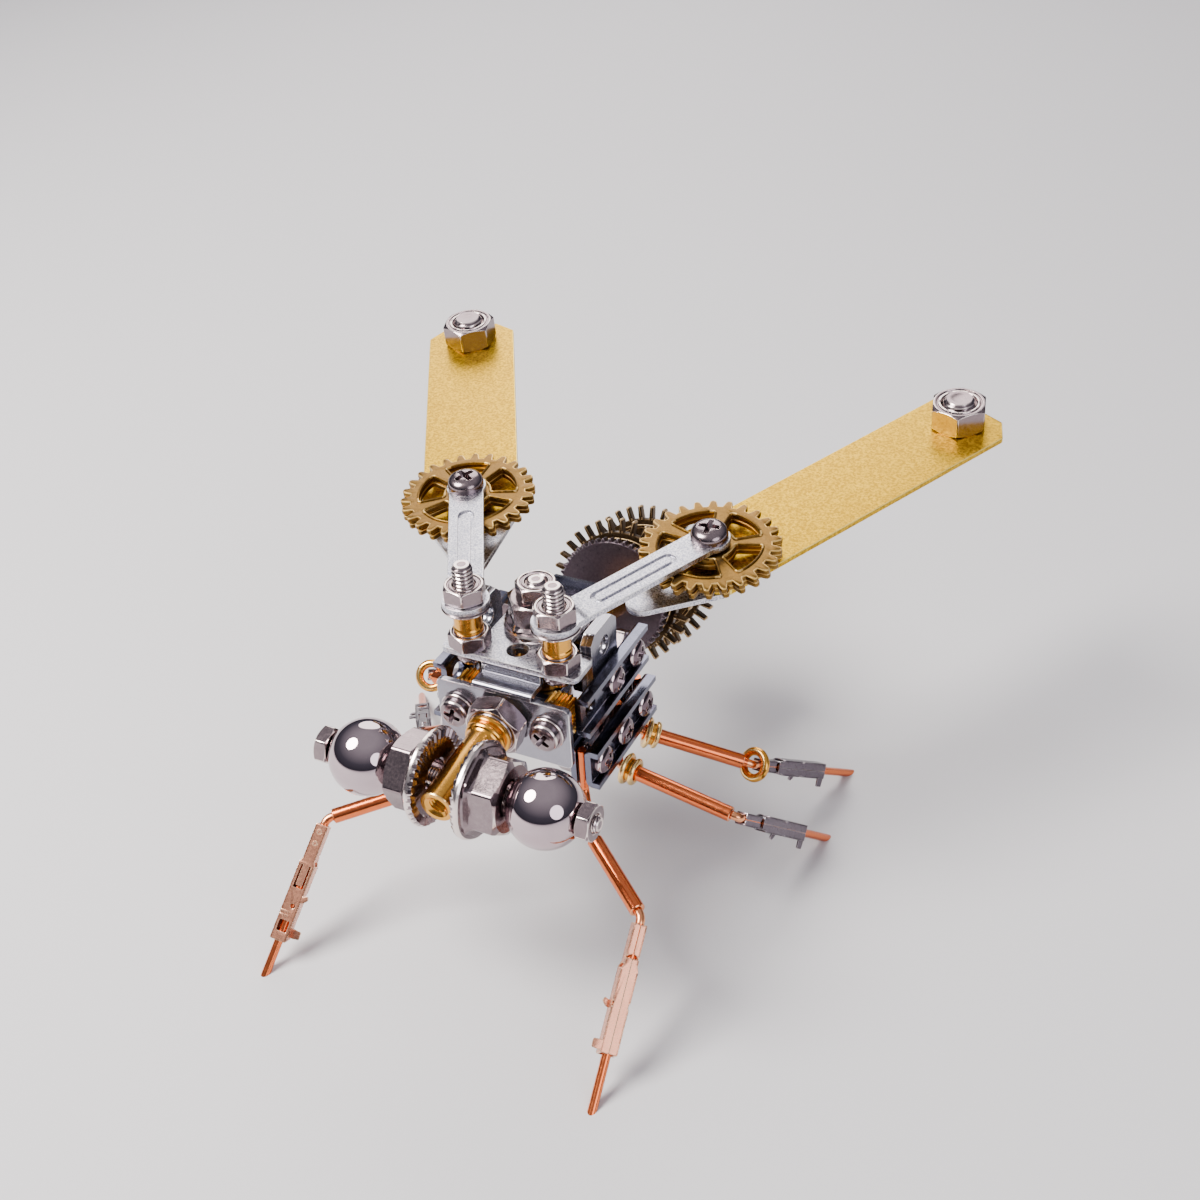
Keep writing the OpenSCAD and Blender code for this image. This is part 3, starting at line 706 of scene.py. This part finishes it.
def side_channels():
    """Four short channels with three holes each, two a side, flanges outwards."""
    half = 0.5 * SHEET
    top = 0.5 * CHANNEL_H - half
    bow = folded([(CHANNEL_FLANGE, top), (half, top), (half, -top), (CHANNEL_FLANGE, -top)], SHEET, 0.55)
    solid = joined([(plate([bow], -0.5 * CHANNEL_L, 0.5 * CHANNEL_L, 0), UPRIGHT)])
    solid = carved(solid, [(pin(M3_HOLE), at(0, i * PITCH) @ OUTWARD) for i in (-1, 0, 1)])
    solid = softened(solid, 0.12)
    parts = [(solid, BODY @ mirrored(side) @ at(web, CORE_Y, z)) for side in (-1, 1)
             for web, z in ((UPPER_WEB, ROW_Z[0]), (LOWER_WEB, ROW_Z[1]))]
    piece("side_channels", parts)


def tail_bracket():
    """L bracket: a foot on the floor of the cradles and a wall across the tail screw."""
    tail = BODY.inverted() @ TAIL
    foot_y, foot_z = 3.75, CRADLE_FLOOR + 1.5 * SHEET
    wall_z = TAIL_SEAT + 0.5 * SHEET
    wall_top, wall_low = tail @ Vector((0, 6.2, wall_z)), tail @ Vector((0, -4, wall_z))
    corner = wall_low.lerp(wall_top, (foot_z - wall_low.z) / (wall_top.z - wall_low.z))
    bow = folded([(foot_y, foot_z), (corner.y, foot_z), (wall_top.y, wall_top.z)], SHEET, 1.0)
    solid = joined([(plate([bow], -4, 4, 0.1), SIDEWAYS)])
    solid = carved(solid, [drill(0, CORE_Y, M3_HOLE), (pin(2.1, 20), tail @ at(z=wall_z))])
    piece("tail_bracket", [(solid, BODY)])


# Thorax fasteners
# Side screws: back of the channel, hole counted from the middle one, row, face that the nut sits on
SIDE_SCREWS = ((UPPER_WEB, 0, 0, CRADLE_X - 2 * SHEET), (UPPER_WEB, 1, 0, UPPER_WEB),
               (LOWER_WEB, -1, 1, FRAME_X - SHEET), (LOWER_WEB, 0, 1, FRAME_X - SHEET),
               (LOWER_WEB, 1, 1, FRAME_X - SHEET))


def side_screws():
    head = screw_head(2.2, 1.6, 0.75)
    screws, nuts = [], []
    m3_nut = nut(M3_AF, M3, NUT_H)
    for side in (-1, 1):
        for web, hole, row, seat in SIDE_SCREWS:
            place = BODY @ mirrored(side) @ at(web + SHEET, CORE_Y + hole * PITCH, ROW_Z[row]) @ OUTWARD
            shank = web + SHEET - seat + NUT_H + 0.6
            twist = 23 * (hole + 2 * row + side)
            screws += [(head, place @ turn(twist)),
                       (thread(M3, shank, 0.5, n=20), place @ turn(180, "X"))]
            nuts.append((m3_nut, BODY @ mirrored(side) @ at(seat - NUT_H, CORE_Y + hole * PITCH, ROW_Z[row])
                         @ OUTWARD @ turn(30 * row)))
    # the side screw heads take the look with the painted dark reflection
    piece("side_screws", screws, SIDE_SCREW_PAINTED_REFLECTION)
    piece("clamp_nuts", nuts)


def front_screws():
    head = screw_head(2.6, 2.3, 0.5, ring=True)
    shank = thread(M3, 6.8, 0.5, n=24)
    parts, brass_nuts = [], []
    ridges = 26

    def knurl(deep):
        return lambda a: 3.05 - deep * abs(sin(0.5 * ridges * a)) ** 0.7

    ridged = turned([(M3, 0.1), (M3 + 0.1, 0), (2.1, 0), (2.2, 0.1), (2.2, 2.2), (knurl(0.5), 2.25),
                     (knurl(0.42), 2.45), (knurl(0.42), 4.75), (knurl(0.5), 4.95), (M3 + 0.3, 5),
                     (M3, 4.8)], 8 * ridges)
    for side in (-1, 1):
        place = BODY @ at(side * FRONT_X, FRONT_Y - SHEET, FRONT_Z) @ UPRIGHT
        parts += [(head, place @ turn(35 * side)), (shank, place @ turn(180, "X"))]
        brass_nuts.append((ridged, BODY @ at(side * FRONT_X, FRONT_Y, FRONT_Z) @ turn(-90, "X")))
    piece("front_screws", parts)
    piece("knurled_nuts", brass_nuts)


def pillars():
    screw_parts, spacers, washers, nuts = [], [], [], []
    m3_nut = nut(M3_AF, M3, NUT_H, ringed=True)
    washer_t = 0.5
    washer_z = ARM_Z - RUN - washer_t
    spacer_h = washer_z - NUT_H
    lower_half = [(2.05, 0), (2.15, 0.15), (2.15, 0.75), (2.02, 0.95)]
    upper_half = [(r, spacer_h - z) for r, z in lower_half[::-1]]
    spacer = turned([(M3_HOLE, 0)] + lower_half + upper_half + [(M3_HOLE, spacer_h)], 64)
    for side in (-1, 1):
        place = BODY @ at(side * PILLAR_X)
        screw_parts += [(thread(M3, PILLAR_TOP + SHEET, 0.62), place @ at(z=-SHEET)),
                        (screw_head(2.3, 1.9, 0.5), place @ at(z=-SHEET) @ turn(180, "X"))]
        spacers.append((spacer, place @ at(z=NUT_H)))
        washers.append((washer(3.5, M3_HOLE, washer_t), place @ at(z=washer_z)))
        nuts += [(m3_nut, place @ turn(20 * side)),
                 (m3_nut, place @ at(z=ARM_Z + SHEET + RUN) @ turn(8 * side))]
    nuts.append((m3_nut, BODY @ at(y=CORE_Y, z=CROWN_NUT_H) @ turn(18)))
    piece("pillar_screws", screw_parts)
    piece("pillar_spacers", spacers)
    piece("pillar_washers", washers)
    piece("small_nuts", nuts)


def crown():
    """The bolt through the thorax with its hexagon head below, its flange nut and the hidden spacer."""
    start, end, head_h = FRAME_TOP - SHEET, 7.9, 2
    piece("crown_bolt", [(thread(M3, end - start, 0.5), BODY @ at(0, CORE_Y, start)),
                         (nut(M3_AF, 0.4, head_h), BODY @ at(0, CORE_Y, start - head_h))])
    rim_r = 5.2
    piece("crown_flange_nut", [(flange_nut(rim_r, M5_AF, M3, CROWN_NUT_H), BODY @ at(y=CORE_Y) @ turn(10))])
    low, high = CRADLE_FLOOR + 2 * SHEET, -2 * SHEET
    tall = turned([(M3_HOLE, low), (3.8, low), (4, low + 0.2), (4, high - 0.2), (3.8, high),
                   (M3_HOLE, high)], 64)
    piece("core_spacer", [(tall, BODY @ at(y=CORE_Y))])


# Head
def neck():
    piece("neck_nut", [(nut(M5_AF, M5, 3.1, ringed=True), NECK @ at(z=0.45) @ turn(13.7))])
    end, pitch = 18.9, 0.5
    rings = [(0, -1.6), (2.2, -1.6), (2.45, -1.35), (2.45, 3.6), (3.1, 3.6), (3.36, 3.8), (3.4, 4.0),
             (3.4, 4.3), (3.3, 4.5), (2.92, 4.6), (2.9, 4.85), (3.02, 4.95), (3.1, 5.1), (3.1, 5.4),
             (2.98, 5.6), (2.7, 5.75), (2.58, 5.95), (2.46, 6.2), (2.46, 8.6), (2.5, 8.8), (2.5, end - 0.15),
             (2.4, end), (1.8, end), (1.52, end - 0.25)]
    for k in range(5):
        z = end - 0.4 - k * pitch
        rings += [(1.26, z), (1.26, z - 0.12), (1.5, z - 0.5 * pitch)]
    rings += [(1.25, end - 3), (0, end - 3.2)]
    body = turned(rings, 64, closed=False)
    cross_hole = (pin(AXLE_R + RUN, 8), at(z=EYE_S) @ OUTWARD)
    piece("neck_sleeve", [(carved(body, [cross_hole]), NECK)])


def eyes():
    half_axle = thread(AXLE_R, 21.9, 0.45, 0.35)
    piece("eye_axle", [(half_axle, AXLE), (half_axle, AXLE @ turn(180, "X"))])
    big = flange_nut(7.1, 10, 2.5, 5.8, wave=0.15, teeth=36)
    piece("head_flange_nuts", [(big, AXLE @ at(z=3.1) @ turn(22)),
                               (big, AXLE @ turn(180, "Y") @ at(z=2.6) @ turn(8))])
    start = asin(BALL_BORE / BALL_R)
    angles = [start + (pi - 2 * start) * k / 40 for k in range(41)]
    curve = [(BALL_R * sin(a), -BALL_R * cos(a)) for a in angles]
    ball = turned([(BALL_BORE, curve[0][1])] + curve[1:-1] + [(BALL_BORE, curve[-1][1])], 72)
    piece("eye_balls", [(ball, AXLE @ at(z=side * BALL_X)) for side in (-1, 1)])
    nut_h = 2
    small = nut(5, AXLE_R, nut_h)
    piece("eye_nuts", [(small, AXLE @ at(z=side * EYE_NUT_X - 0.5 * nut_h) @ turn(12)) for side in (-1, 1)])


# Wings
def slot(half_w, low, high):
    return arc(low, half_w, range(180, 361, 15)) + arc(high, half_w, range(0, 181, 15))


def wing_arm(name, place, hub):
    """Embossed arm, level on its pillar and twisted to the wing's slope just past it."""
    outline = arc(0, 3.4, range(140, 401, 10)) + arc(ARM_L, 3.0, range(-30, 211, 10))
    arm = plate([outline, circle(0, 0, M3 + RUN), circle(0, ARM_L, M3_HOLE)], 0, SHEET, 0.1)
    groove = plate([slot(1.25, 7.4, 19.4), slot(0.7, 7.6, 19.2)], SHEET - 0.4, SHEET + 1, 0)
    arm = softened(carved(arm, [(groove, Matrix())]), 0.07, 2, 60)
    bm = bmesh.new()
    bm.from_mesh(arm)
    fold = 3.6
    for u in (fold - 0.5, fold, fold + 0.5):
        bmesh.ops.bisect_plane(bm, geom=bm.verts[:] + bm.edges[:] + bm.faces[:], plane_co=(0, u, 0),
                               plane_no=(0, 1, 0))
    out = hub.translation - place.translation
    out.z = 0
    out.normalize()
    up = Vector((0, 0, 1))
    level = Matrix.Translation(place.translation) @ Matrix((out.cross(up), out, up)).transposed().to_4x4()
    for v in bm.verts:
        share = min(1, max(0, v.co.y - fold + 0.5))
        v.co = (level @ v.co).lerp(place @ v.co, share)
    piece("wing_arm_" + name, [(mesh_of(bm), Matrix())])


def wing_hub(name, hub):
    piece("wing_hub_screw_" + name, [(screw_head(2.75, 2, 0.55), hub @ at(z=SHEET) @ turn(15)),
                                     (thread(M3, 8.7, 0.5, n=20), hub @ at(z=SHEET) @ turn(180, "X"))])
    nut_z = BACKING_TOP - SHEET - RUN - NUT_H
    piece("wing_hub_nut_" + name, [(nut(M3_AF, M3, NUT_H), hub @ at(z=nut_z) @ turn(10))])


def wing_gear(name, hub):
    """Two thin toothed layers with five windows, a bead round each window and a collar below."""
    teeth, bore = 26, circle(0, 0, M3 + RUN)
    middles = [90 + 72 * i for i in range(5)]
    windows = [window_outline(3.7, 7.5, 26, middle) for middle in middles]
    upper = plate([gear_outline(teeth, 8.9, 10.37, 1.55, 1.0), bore] + windows, -1.3, -0.38, 0.16)
    lower = plate([gear_outline(teeth, 8.8, 10.3, 1.6, 1.05), bore] + windows, -2.2, -1.36, 0.12)
    rims = [window_outline(3.55, 7.66, 27.3, middle, 1.0) for middle in middles]
    beads = [(bead([(x, y, -0.36) for x, y in rim], 0.2), hub) for rim in rims]
    collar = washer(2.6, M3 + RUN, 0.75)
    piece("wing_gear_" + name, [(upper, hub), (lower, hub @ turn(1.5)), (collar, hub @ at(z=-2.95))] + beads)


def wing_blade(name, place):
    """The brass blade and the pointed steel backing under it."""
    half, start, end = 7.5, ARM_L - 4.5, TIP_U + 5
    shape = rounded([(2 - half, start), (half - 2, start), (half, start + 2), (half, end - 3),
                     (half - 3, end), (3 - half, end), (-half, end - 3), (-half, start + 2)], 0.5, 3)
    blade = plate([shape, circle(0, ARM_L, M3 + RUN), circle(0, TIP_U, 2.6)],
                  BLADE_TOP - SHEET, BLADE_TOP, 0.12)
    piece("wing_blade_" + name, [(blade, place)], BLADE_LOOK)
    half, start, end = 6.6, ARM_L - 3.2, 51.6
    nose = arc(14.4, 2.4, range(200, 341, 14))
    shape = nose + [(half, start), (half, end - 2.8), (half - 2.8, end), (2.8 - half, end),
                    (-half, end - 2.8), (-half, start)]
    backing = plate([shape, circle(0, ARM_L, M3 + RUN)], BACKING_TOP - SHEET, BACKING_TOP, 0.12)
    piece("wing_backing_" + name, [(backing, place)])


def wing_tip(name, tip):
    low = BLADE_TOP - SHEET
    piece("wing_tip_nut_" + name, [(nut(M5_AF, M5, 4, ringed=True), tip @ at(z=BLADE_TOP) @ turn(12))])
    piece("wing_tip_screw_" + name, [(thread(M5, 5.6, 0.8, 0.6), tip @ at(z=low)),
                                     (screw_head(4, 2.2, 0.5), tip @ at(z=low) @ turn(180, "X"))])


def wing(name):
    place = wing_frame(name)
    hub = place @ at(y=ARM_L)
    wing_arm(name, place, hub)
    wing_hub(name, hub)
    wing_gear(name, hub)
    wing_blade(name, place)
    wing_tip(name, place @ at(y=TIP_U))


# Tail
def tail_disc():
    low, top = DISC_LOW, DISC_TOP
    disc = [(TAIL_BORE, low), (8.9, low), (9.05, low + 0.15), (9.05, top - 0.15), (8.9, top), (8.2, top),
            (8.1, top - 0.12), (7.9, top - 0.12), (7.8, top), (TAIL_BORE, top)]
    outline = gear_outline(48, 8.9, 9.6, 0.75, 0.45, 3)
    teeth = plate([outline, circle(0, 0, 8.4)], low + 0.05, top - 0.05, 0.08)
    piece("tail_disc", [(turned(disc, 96), TAIL), (teeth, TAIL)])


def tail_gears():
    """Two equal toothed wheels with a raised ring on each face."""
    half = 0.5 * TAIL_GEAR_T
    wheel = plate([gear_outline(34, 9.9, 12.1, 0.78, 0.58, 6), circle(0, 0, TAIL_BORE)], -half, half, 0.2)
    face = [(8.4, half), (8.5, half + 0.1), (8.9, half + 0.1), (9.0, half)]
    ridge = turned(face + [(r, -z) for r, z in face[::-1]], 96)
    # the tail gears take the brass look with painted shade
    piece("tail_gear_front", [(wheel, TAIL), (ridge, TAIL)], BRASS_PAINTED_SHADE)
    rear = TAIL @ at(z=TAIL_GAP)
    piece("tail_gear_rear", [(wheel, rear @ turn(3)), (ridge, rear)], BRASS_PAINTED_SHADE)


def tail_fasteners():
    seat = TAIL @ at(z=TAIL_SEAT)
    piece("tail_screw", [(thread(M4, 32.6, 0.7), seat), (screw_head(3.2, 2.2, 0.5), seat @ turn(180, "X"))])
    nut_h, nut_z = 3.2, TAIL_SEAT + SHEET
    beside_gear = 0.5 * TAIL_GEAR_T + RUN
    spans = ((nut_z + nut_h, DISC_LOW - RUN), (DISC_TOP + RUN, -beside_gear),
             (beside_gear, TAIL_GAP - beside_gear))
    r, edge = TAIL_SPACER_R, 0.15
    spacers = [(turned([(TAIL_BORE, 0), (r - edge, 0), (r, edge), (r, high - low - edge),
                        (r - edge, high - low), (TAIL_BORE, high - low)], 64), TAIL @ at(z=low))
               for low, high in spans]
    piece("tail_spacers", spacers)
    m4_nut = nut(M4_AF, M4, nut_h)
    piece("tail_nuts", [(m4_nut, TAIL @ at(z=z)) for z in (nut_z, TAIL_GAP + beside_gear)])


# Legs: side, y of the clamped wire, sleeve start, knee, foot, rings (1 at the hip, 2 at hip and knee),
# twist of the terminal about its wire
LEGS = {
    "front_left": (-1, -1.5, (14.0, -6.4, -24.2), (25.9, -15.6, -27.0), (28.0, -32.8), 0, 20),
    "front_right": (1, -1.5, (14.0, -6.4, -24.2), (25.7, -15.4, -27.0), (27.0, -35.3), 0, 150),
    "mid_left": (-1, 10.2, (11.2, 8.6, -22.6), (26.0, 11.8, -31.6), (40.9, 33.0), 1, 0),
    "mid_right": (1, 10.2, (11.2, 8.4, -23.3), (30.8, 7.3, -26.1), (38.1, 26.3), 1, -105),
    "rear_left": (-1, 17.0, (11.2, 15.6, -22.0), (30.3, 21.8, -27.9), (36.4, 42.6), 2, 0),
    "rear_right": (1, 17.0, (11.2, 15.6, -22.0), (27.3, 21.9, -28.6), (36.4, 42.6), 2, -105),
}


def line_frame(p, q):
    """Frame at p with +Z towards q, turned as the frame's rods are."""
    d = (q - p).normalized()
    return at(*p) @ Matrix.Rotation(atan2(d.y, d.x), 4, "Z") @ Matrix.Rotation(acos(d.z), 4, "Y")


def eyelet(r, bore, h):
    """Ring with a round section."""
    mid, reach = 0.5 * (r + bore), 0.5 * (r - bore)
    angles = [tau * k / 16 for k in range(16)]
    return turned([(mid + reach * cos(a), 0.5 * h + 0.5 * h * sin(a)) for a in angles], 56)


def above_floor(mesh):
    """The mesh, drawn in the body's frame, cut off flat at the floor."""
    bm = bmesh.new()
    bm.from_mesh(mesh)
    cut = bmesh.ops.bisect_plane(bm, geom=bm.verts[:] + bm.edges[:] + bm.faces[:], plane_co=(0, 0, -STAND_H),
                                 plane_no=(0, 0, -1), clear_outer=True)
    bmesh.ops.holes_fill(bm, edges=[e for e in cut["geom_cut"] if isinstance(e, bmesh.types.BMEdge)])
    return mesh_of(bm)


def leg(name):
    side, wire_y, start, knee, foot, rings, twist = LEGS[name]
    start, knee, foot = Vector(start), Vector(knee), Vector((*foot, -STAND_H))
    mirror = BODY @ mirrored(side)
    beyond = foot + (foot - knee).normalized() * 1.5
    clamp, below = (WIRE_X, wire_y, -12.95), (WIRE_X, wire_y, -20.4)
    wire = above_floor(tube([clamp, below, start, knee, beyond], 0.5 * WIRE_D, bend=0.9))
    thigh, shin = mirror @ line_frame(start, knee), mirror @ line_frame(knee, foot)
    low, high = 0.6, (knee - start).length - (1.6 if rings == 2 else 1.1)
    ro, ri, edge = 0.5 * SLEEVE_D, 0.5 * WIRE_D + RUN, 0.12
    sleeve = turned([(ri, low), (ro - edge, low), (ro, low + edge), (ro, high - edge), (ro - edge, high),
                     (ri, high)], 40)
    piece("leg_" + name, [(wire, mirror), (sleeve, thigh)])

    brass_parts = []
    if rings:
        bore = ro + RUN
        brass_parts += [(eyelet(2.5, bore, 0.95), thigh @ at(z=0.9)),
                        (washer(1.75, bore, 1.4), thigh @ at(z=1.2)),
                        (eyelet(2.15, bore, 0.9), thigh @ at(z=2.3))]
    if rings == 2:
        brass_parts.append((eyelet(2.75, 1.4, 1.25), shin @ at(z=-0.1)))
    if brass_parts:
        ring = piece("leg_" + name, brass_parts, LOOKS["brass"], name="leg_rings_" + name, stands_for=False)

    # the middle and rear terminals take the tinned look with painted shade
    look = LOOKS["tinned"] if name.startswith("front") else TINNED_PAINTED_SHADE
    same_hand = Matrix.Diagonal((1, side, 1, 1))      # the terminals of both sides are the same part
    place = shin @ turn(twist) @ same_hand
    parts = terminal(1.5 if rings == 2 else 1)
    piece("shin_" + name, [(mesh, place @ matrix) for mesh, matrix in parts], look)


TERMINAL_SHEET = 0.3


def leaf(points, low, radius, n=2, holes=()):
    """Flat piece of the terminal's sheet, up from low."""
    return plate([rounded(points, radius, n), *holes], low, low + TERMINAL_SHEET, 0.06)


def terminal(start):
    """Crimp terminal along +Z from start: a crimp with a seam and two dimples, then a wider folded box."""
    wall, w, d, neck = TERMINAL_SHEET, 2.5, 2.1, 1.9
    half, half_neck, back, end = 0.5 * w, 0.5 * neck, -0.5 * d, 19
    front = -back - wall
    lance = [(-0.78, 7.4), (-0.5, 7.4), (-0.5, 10.5), (0.5, 10.5), (0.5, 7.4), (0.78, 7.4), (0.78, 10.9),
             (-0.78, 10.9)]
    window = rounded([(-0.8, 15.9), (0.8, 15.9), (0.8, 17.6), (-0.8, 17.6)], 0.2, 3)
    pip = circle(0.3, 13.6, 0.36, 20)
    back_wall = leaf([(-half_neck, start), (half_neck, start), (half_neck, 6.4), (half, 7.1), (half, end),
                      (-half, end), (-half, 7.1), (-half_neck, 6.4)], back, 0.2, holes=(lance, pip, window))
    flap = leaf([(0.06, start), (half_neck, start), (half_neck, 5.5), (0.06, 5.1)],
                back + neck - wall, 0.25, 3)
    lip = leaf([(0.02, 5.75), (half_neck, 5.75), (half_neck, 6.6), (half, 7.3), (half, 11.6),
                (half - 0.25, 11.8), (half - 0.25, 12.2), (half, 12.4), (half, 18.6), (0.02, 18.6)],
               front, 0.15)
    tab = leaf([(half - 0.1, 16.9), (half + 1.3, 17.0), (half + 1.3, 18.2), (half - 0.1, 18.4)], front, 0.2)
    hook = leaf([(half - 0.1, 11.8), (half + 0.75, 11.5), (half + 0.95, 12.1), (half + 0.4, 12.7),
                 (half - 0.1, 12.9)], back, 0.2, 3)
    crimp_side = leaf([(back, start), (back + neck, start), (back + neck, 5.5), (0.3, 5.7), (-back, 5.8),
                       (-back, 6.6), (back, 6.6)], -0.5 * wall, 0.15)
    box_side = leaf([(back, 7.2), (-back, 7.2), (-back, 11.6), (0.5, 11.8), (0.5, 12.2), (-back, 12.4),
                     (-back, 18.6), (back, end)], -0.5 * wall, 0.2)
    dimple = turned([(0, -0.02), (0.46, -0.02), (0.46, 0.0), (0.38, 0.1), (0.24, 0.1), (0.14, 0.03),
                     (0, 0.02)], 24, closed=False)
    rib = plate([rounded([(0.1 - half, -0.16), (0.3, -0.16), (0.3, 0.16), (0.1 - half, 0.16)], 0.15, 3)],
                back - 0.12, back + wall, 0.05)
    across = Matrix(((1, 0, 0, 0), (0, 0, 1, 0), (0, 1, 0, 0), (0, 0, 0, 1)))    # drawn in XZ, depth along Y
    parts = [(back_wall, SIDEWAYS), (tab, SIDEWAYS), (hook, SIDEWAYS)]
    parts += [(half_leaf, SIDEWAYS @ mirrored(side)) for half_leaf in (flap, lip) for side in (1, -1)]
    parts += [(crimp_side, at(y=side * 0.5 * (neck - wall)) @ across) for side in (-1, 1)]
    parts += [(box_side, at(y=side * 0.5 * (w - wall)) @ across) for side in (-1, 1)]
    parts += [(dimple, at(back, 0, z) @ turn(-90, "Y")) for z in (start + 1.1, start + 2.9)]
    parts += [(rib, SIDEWAYS @ at(0, z)) for z in (14.6, 15.2)]
    return parts


crown_plate()
front_bracket()
cradle("inner_cradle", CRADLE_X - SHEET, CRADLE_FLOOR, 2.5)
cradle("outer_cradle", CRADLE_X, CRADLE_FLOOR - SHEET, 2.7)
leg_frame()
side_channels()
tail_bracket()
side_screws()
front_screws()
pillars()
crown()
neck()
eyes()
for side_name in SIDES:
    wing(side_name)
tail_disc()
tail_gears()
tail_fasteners()
for leg_name in LEGS:
    leg(leg_name)


# ---- Floor, light and camera ----
def floor():
    mesh = bpy.data.meshes.new("floor")
    reach = 1.6
    corners = [(-reach, -reach, 0), (reach, -reach, 0), (reach, reach, 0), (-reach, reach, 0)]
    mesh.from_pydata(corners, [], [(0, 1, 2, 3)])
    obj = bpy.data.objects.new("floor", mesh)
    bpy.context.scene.collection.objects.link(obj)
    look = bpy.data.materials.new("floor")
    look.use_nodes = True
    shader = look.node_tree.nodes["Principled BSDF"]
    shader.inputs["Base Color"].default_value = (0.66, 0.66, 0.68, 1)
    shader.inputs["Roughness"].default_value = 0.75
    shader.inputs["Specular IOR Level"].default_value = 0.2
    mesh.materials.append(look)


def area_light(name, place, size, power, tint=(1, 1, 1)):
    """Round soft light at place, in metres, aimed at the middle of the figure."""
    light = bpy.data.lights.new(name, "AREA")
    light.shape = "DISK"
    light.size = size
    light.energy = power
    light.color = tint
    obj = bpy.data.objects.new(name, light)
    aim = Vector((0, 0, 0.03))
    obj.matrix_world = (Matrix.Translation(place)
                        @ (aim - Vector(place)).to_track_quat("-Z", "Y").to_matrix().to_4x4())
    bpy.context.scene.collection.objects.link(obj)


def studio():
    area_light("key", (-0.30, -0.22, 0.52), 0.34, 9, (1.0, 0.95, 0.90))
    area_light("fill", (0.55, -0.30, 0.30), 0.45, 1.8, (0.95, 0.92, 1.0))
    area_light("rim", (-0.26, 0.52, 0.44), 0.50, 2.8, (1.0, 0.94, 0.91))
    world = bpy.data.worlds.new("studio")
    world.use_nodes = True
    tree = world.node_tree
    back = tree.nodes["Background"]
    ramp = tree.nodes.new("ShaderNodeValToRGB")
    split = tree.nodes.new("ShaderNodeSeparateXYZ")
    link(tree, tree.nodes.new("ShaderNodeTexCoord").outputs["Generated"], split.inputs["Vector"])
    link(tree, spread(tree, split.outputs["Z"], -1, 1), ramp.inputs["Fac"])
    stops = ramp.color_ramp.elements
    stops[0].position, stops[0].color = 0.45, (0.05, 0.05, 0.07, 1)
    stops[1].position, stops[1].color = 0.95, (0.70, 0.68, 0.74, 1)
    middle = stops.new(0.64)
    middle.color = (0.14, 0.14, 0.18, 1)
    link(tree, ramp.outputs["Color"], back.inputs["Color"])
    back.inputs["Strength"].default_value = 0.8
    bpy.context.scene.world = world


def camera():
    azimuth, elevation, roll = radians(27.89), radians(34.44), radians(-3.5)
    from_crown = Vector((95.7, -154.11, 132.38))
    back = Vector((sin(azimuth) * cos(elevation), -cos(azimuth) * cos(elevation), sin(elevation)))
    right = Vector((cos(azimuth), sin(azimuth), 0))
    up = back.cross(right)
    x = cos(roll) * right + sin(roll) * up
    y = cos(roll) * up - sin(roll) * right
    lens = bpy.data.cameras.new("camera")
    lens.sensor_width = 36
    lens.lens = 47.88
    lens.clip_start = 0.01
    obj = bpy.data.objects.new("camera", lens)
    obj.matrix_world = (Matrix.Translation((CROWN + from_crown) * MM)
                        @ Matrix((x, y, back)).transposed().to_4x4())
    bpy.context.scene.collection.objects.link(obj)
    bpy.context.scene.camera = obj


floor()
studio()
camera()
bpy.context.view_layer.update()
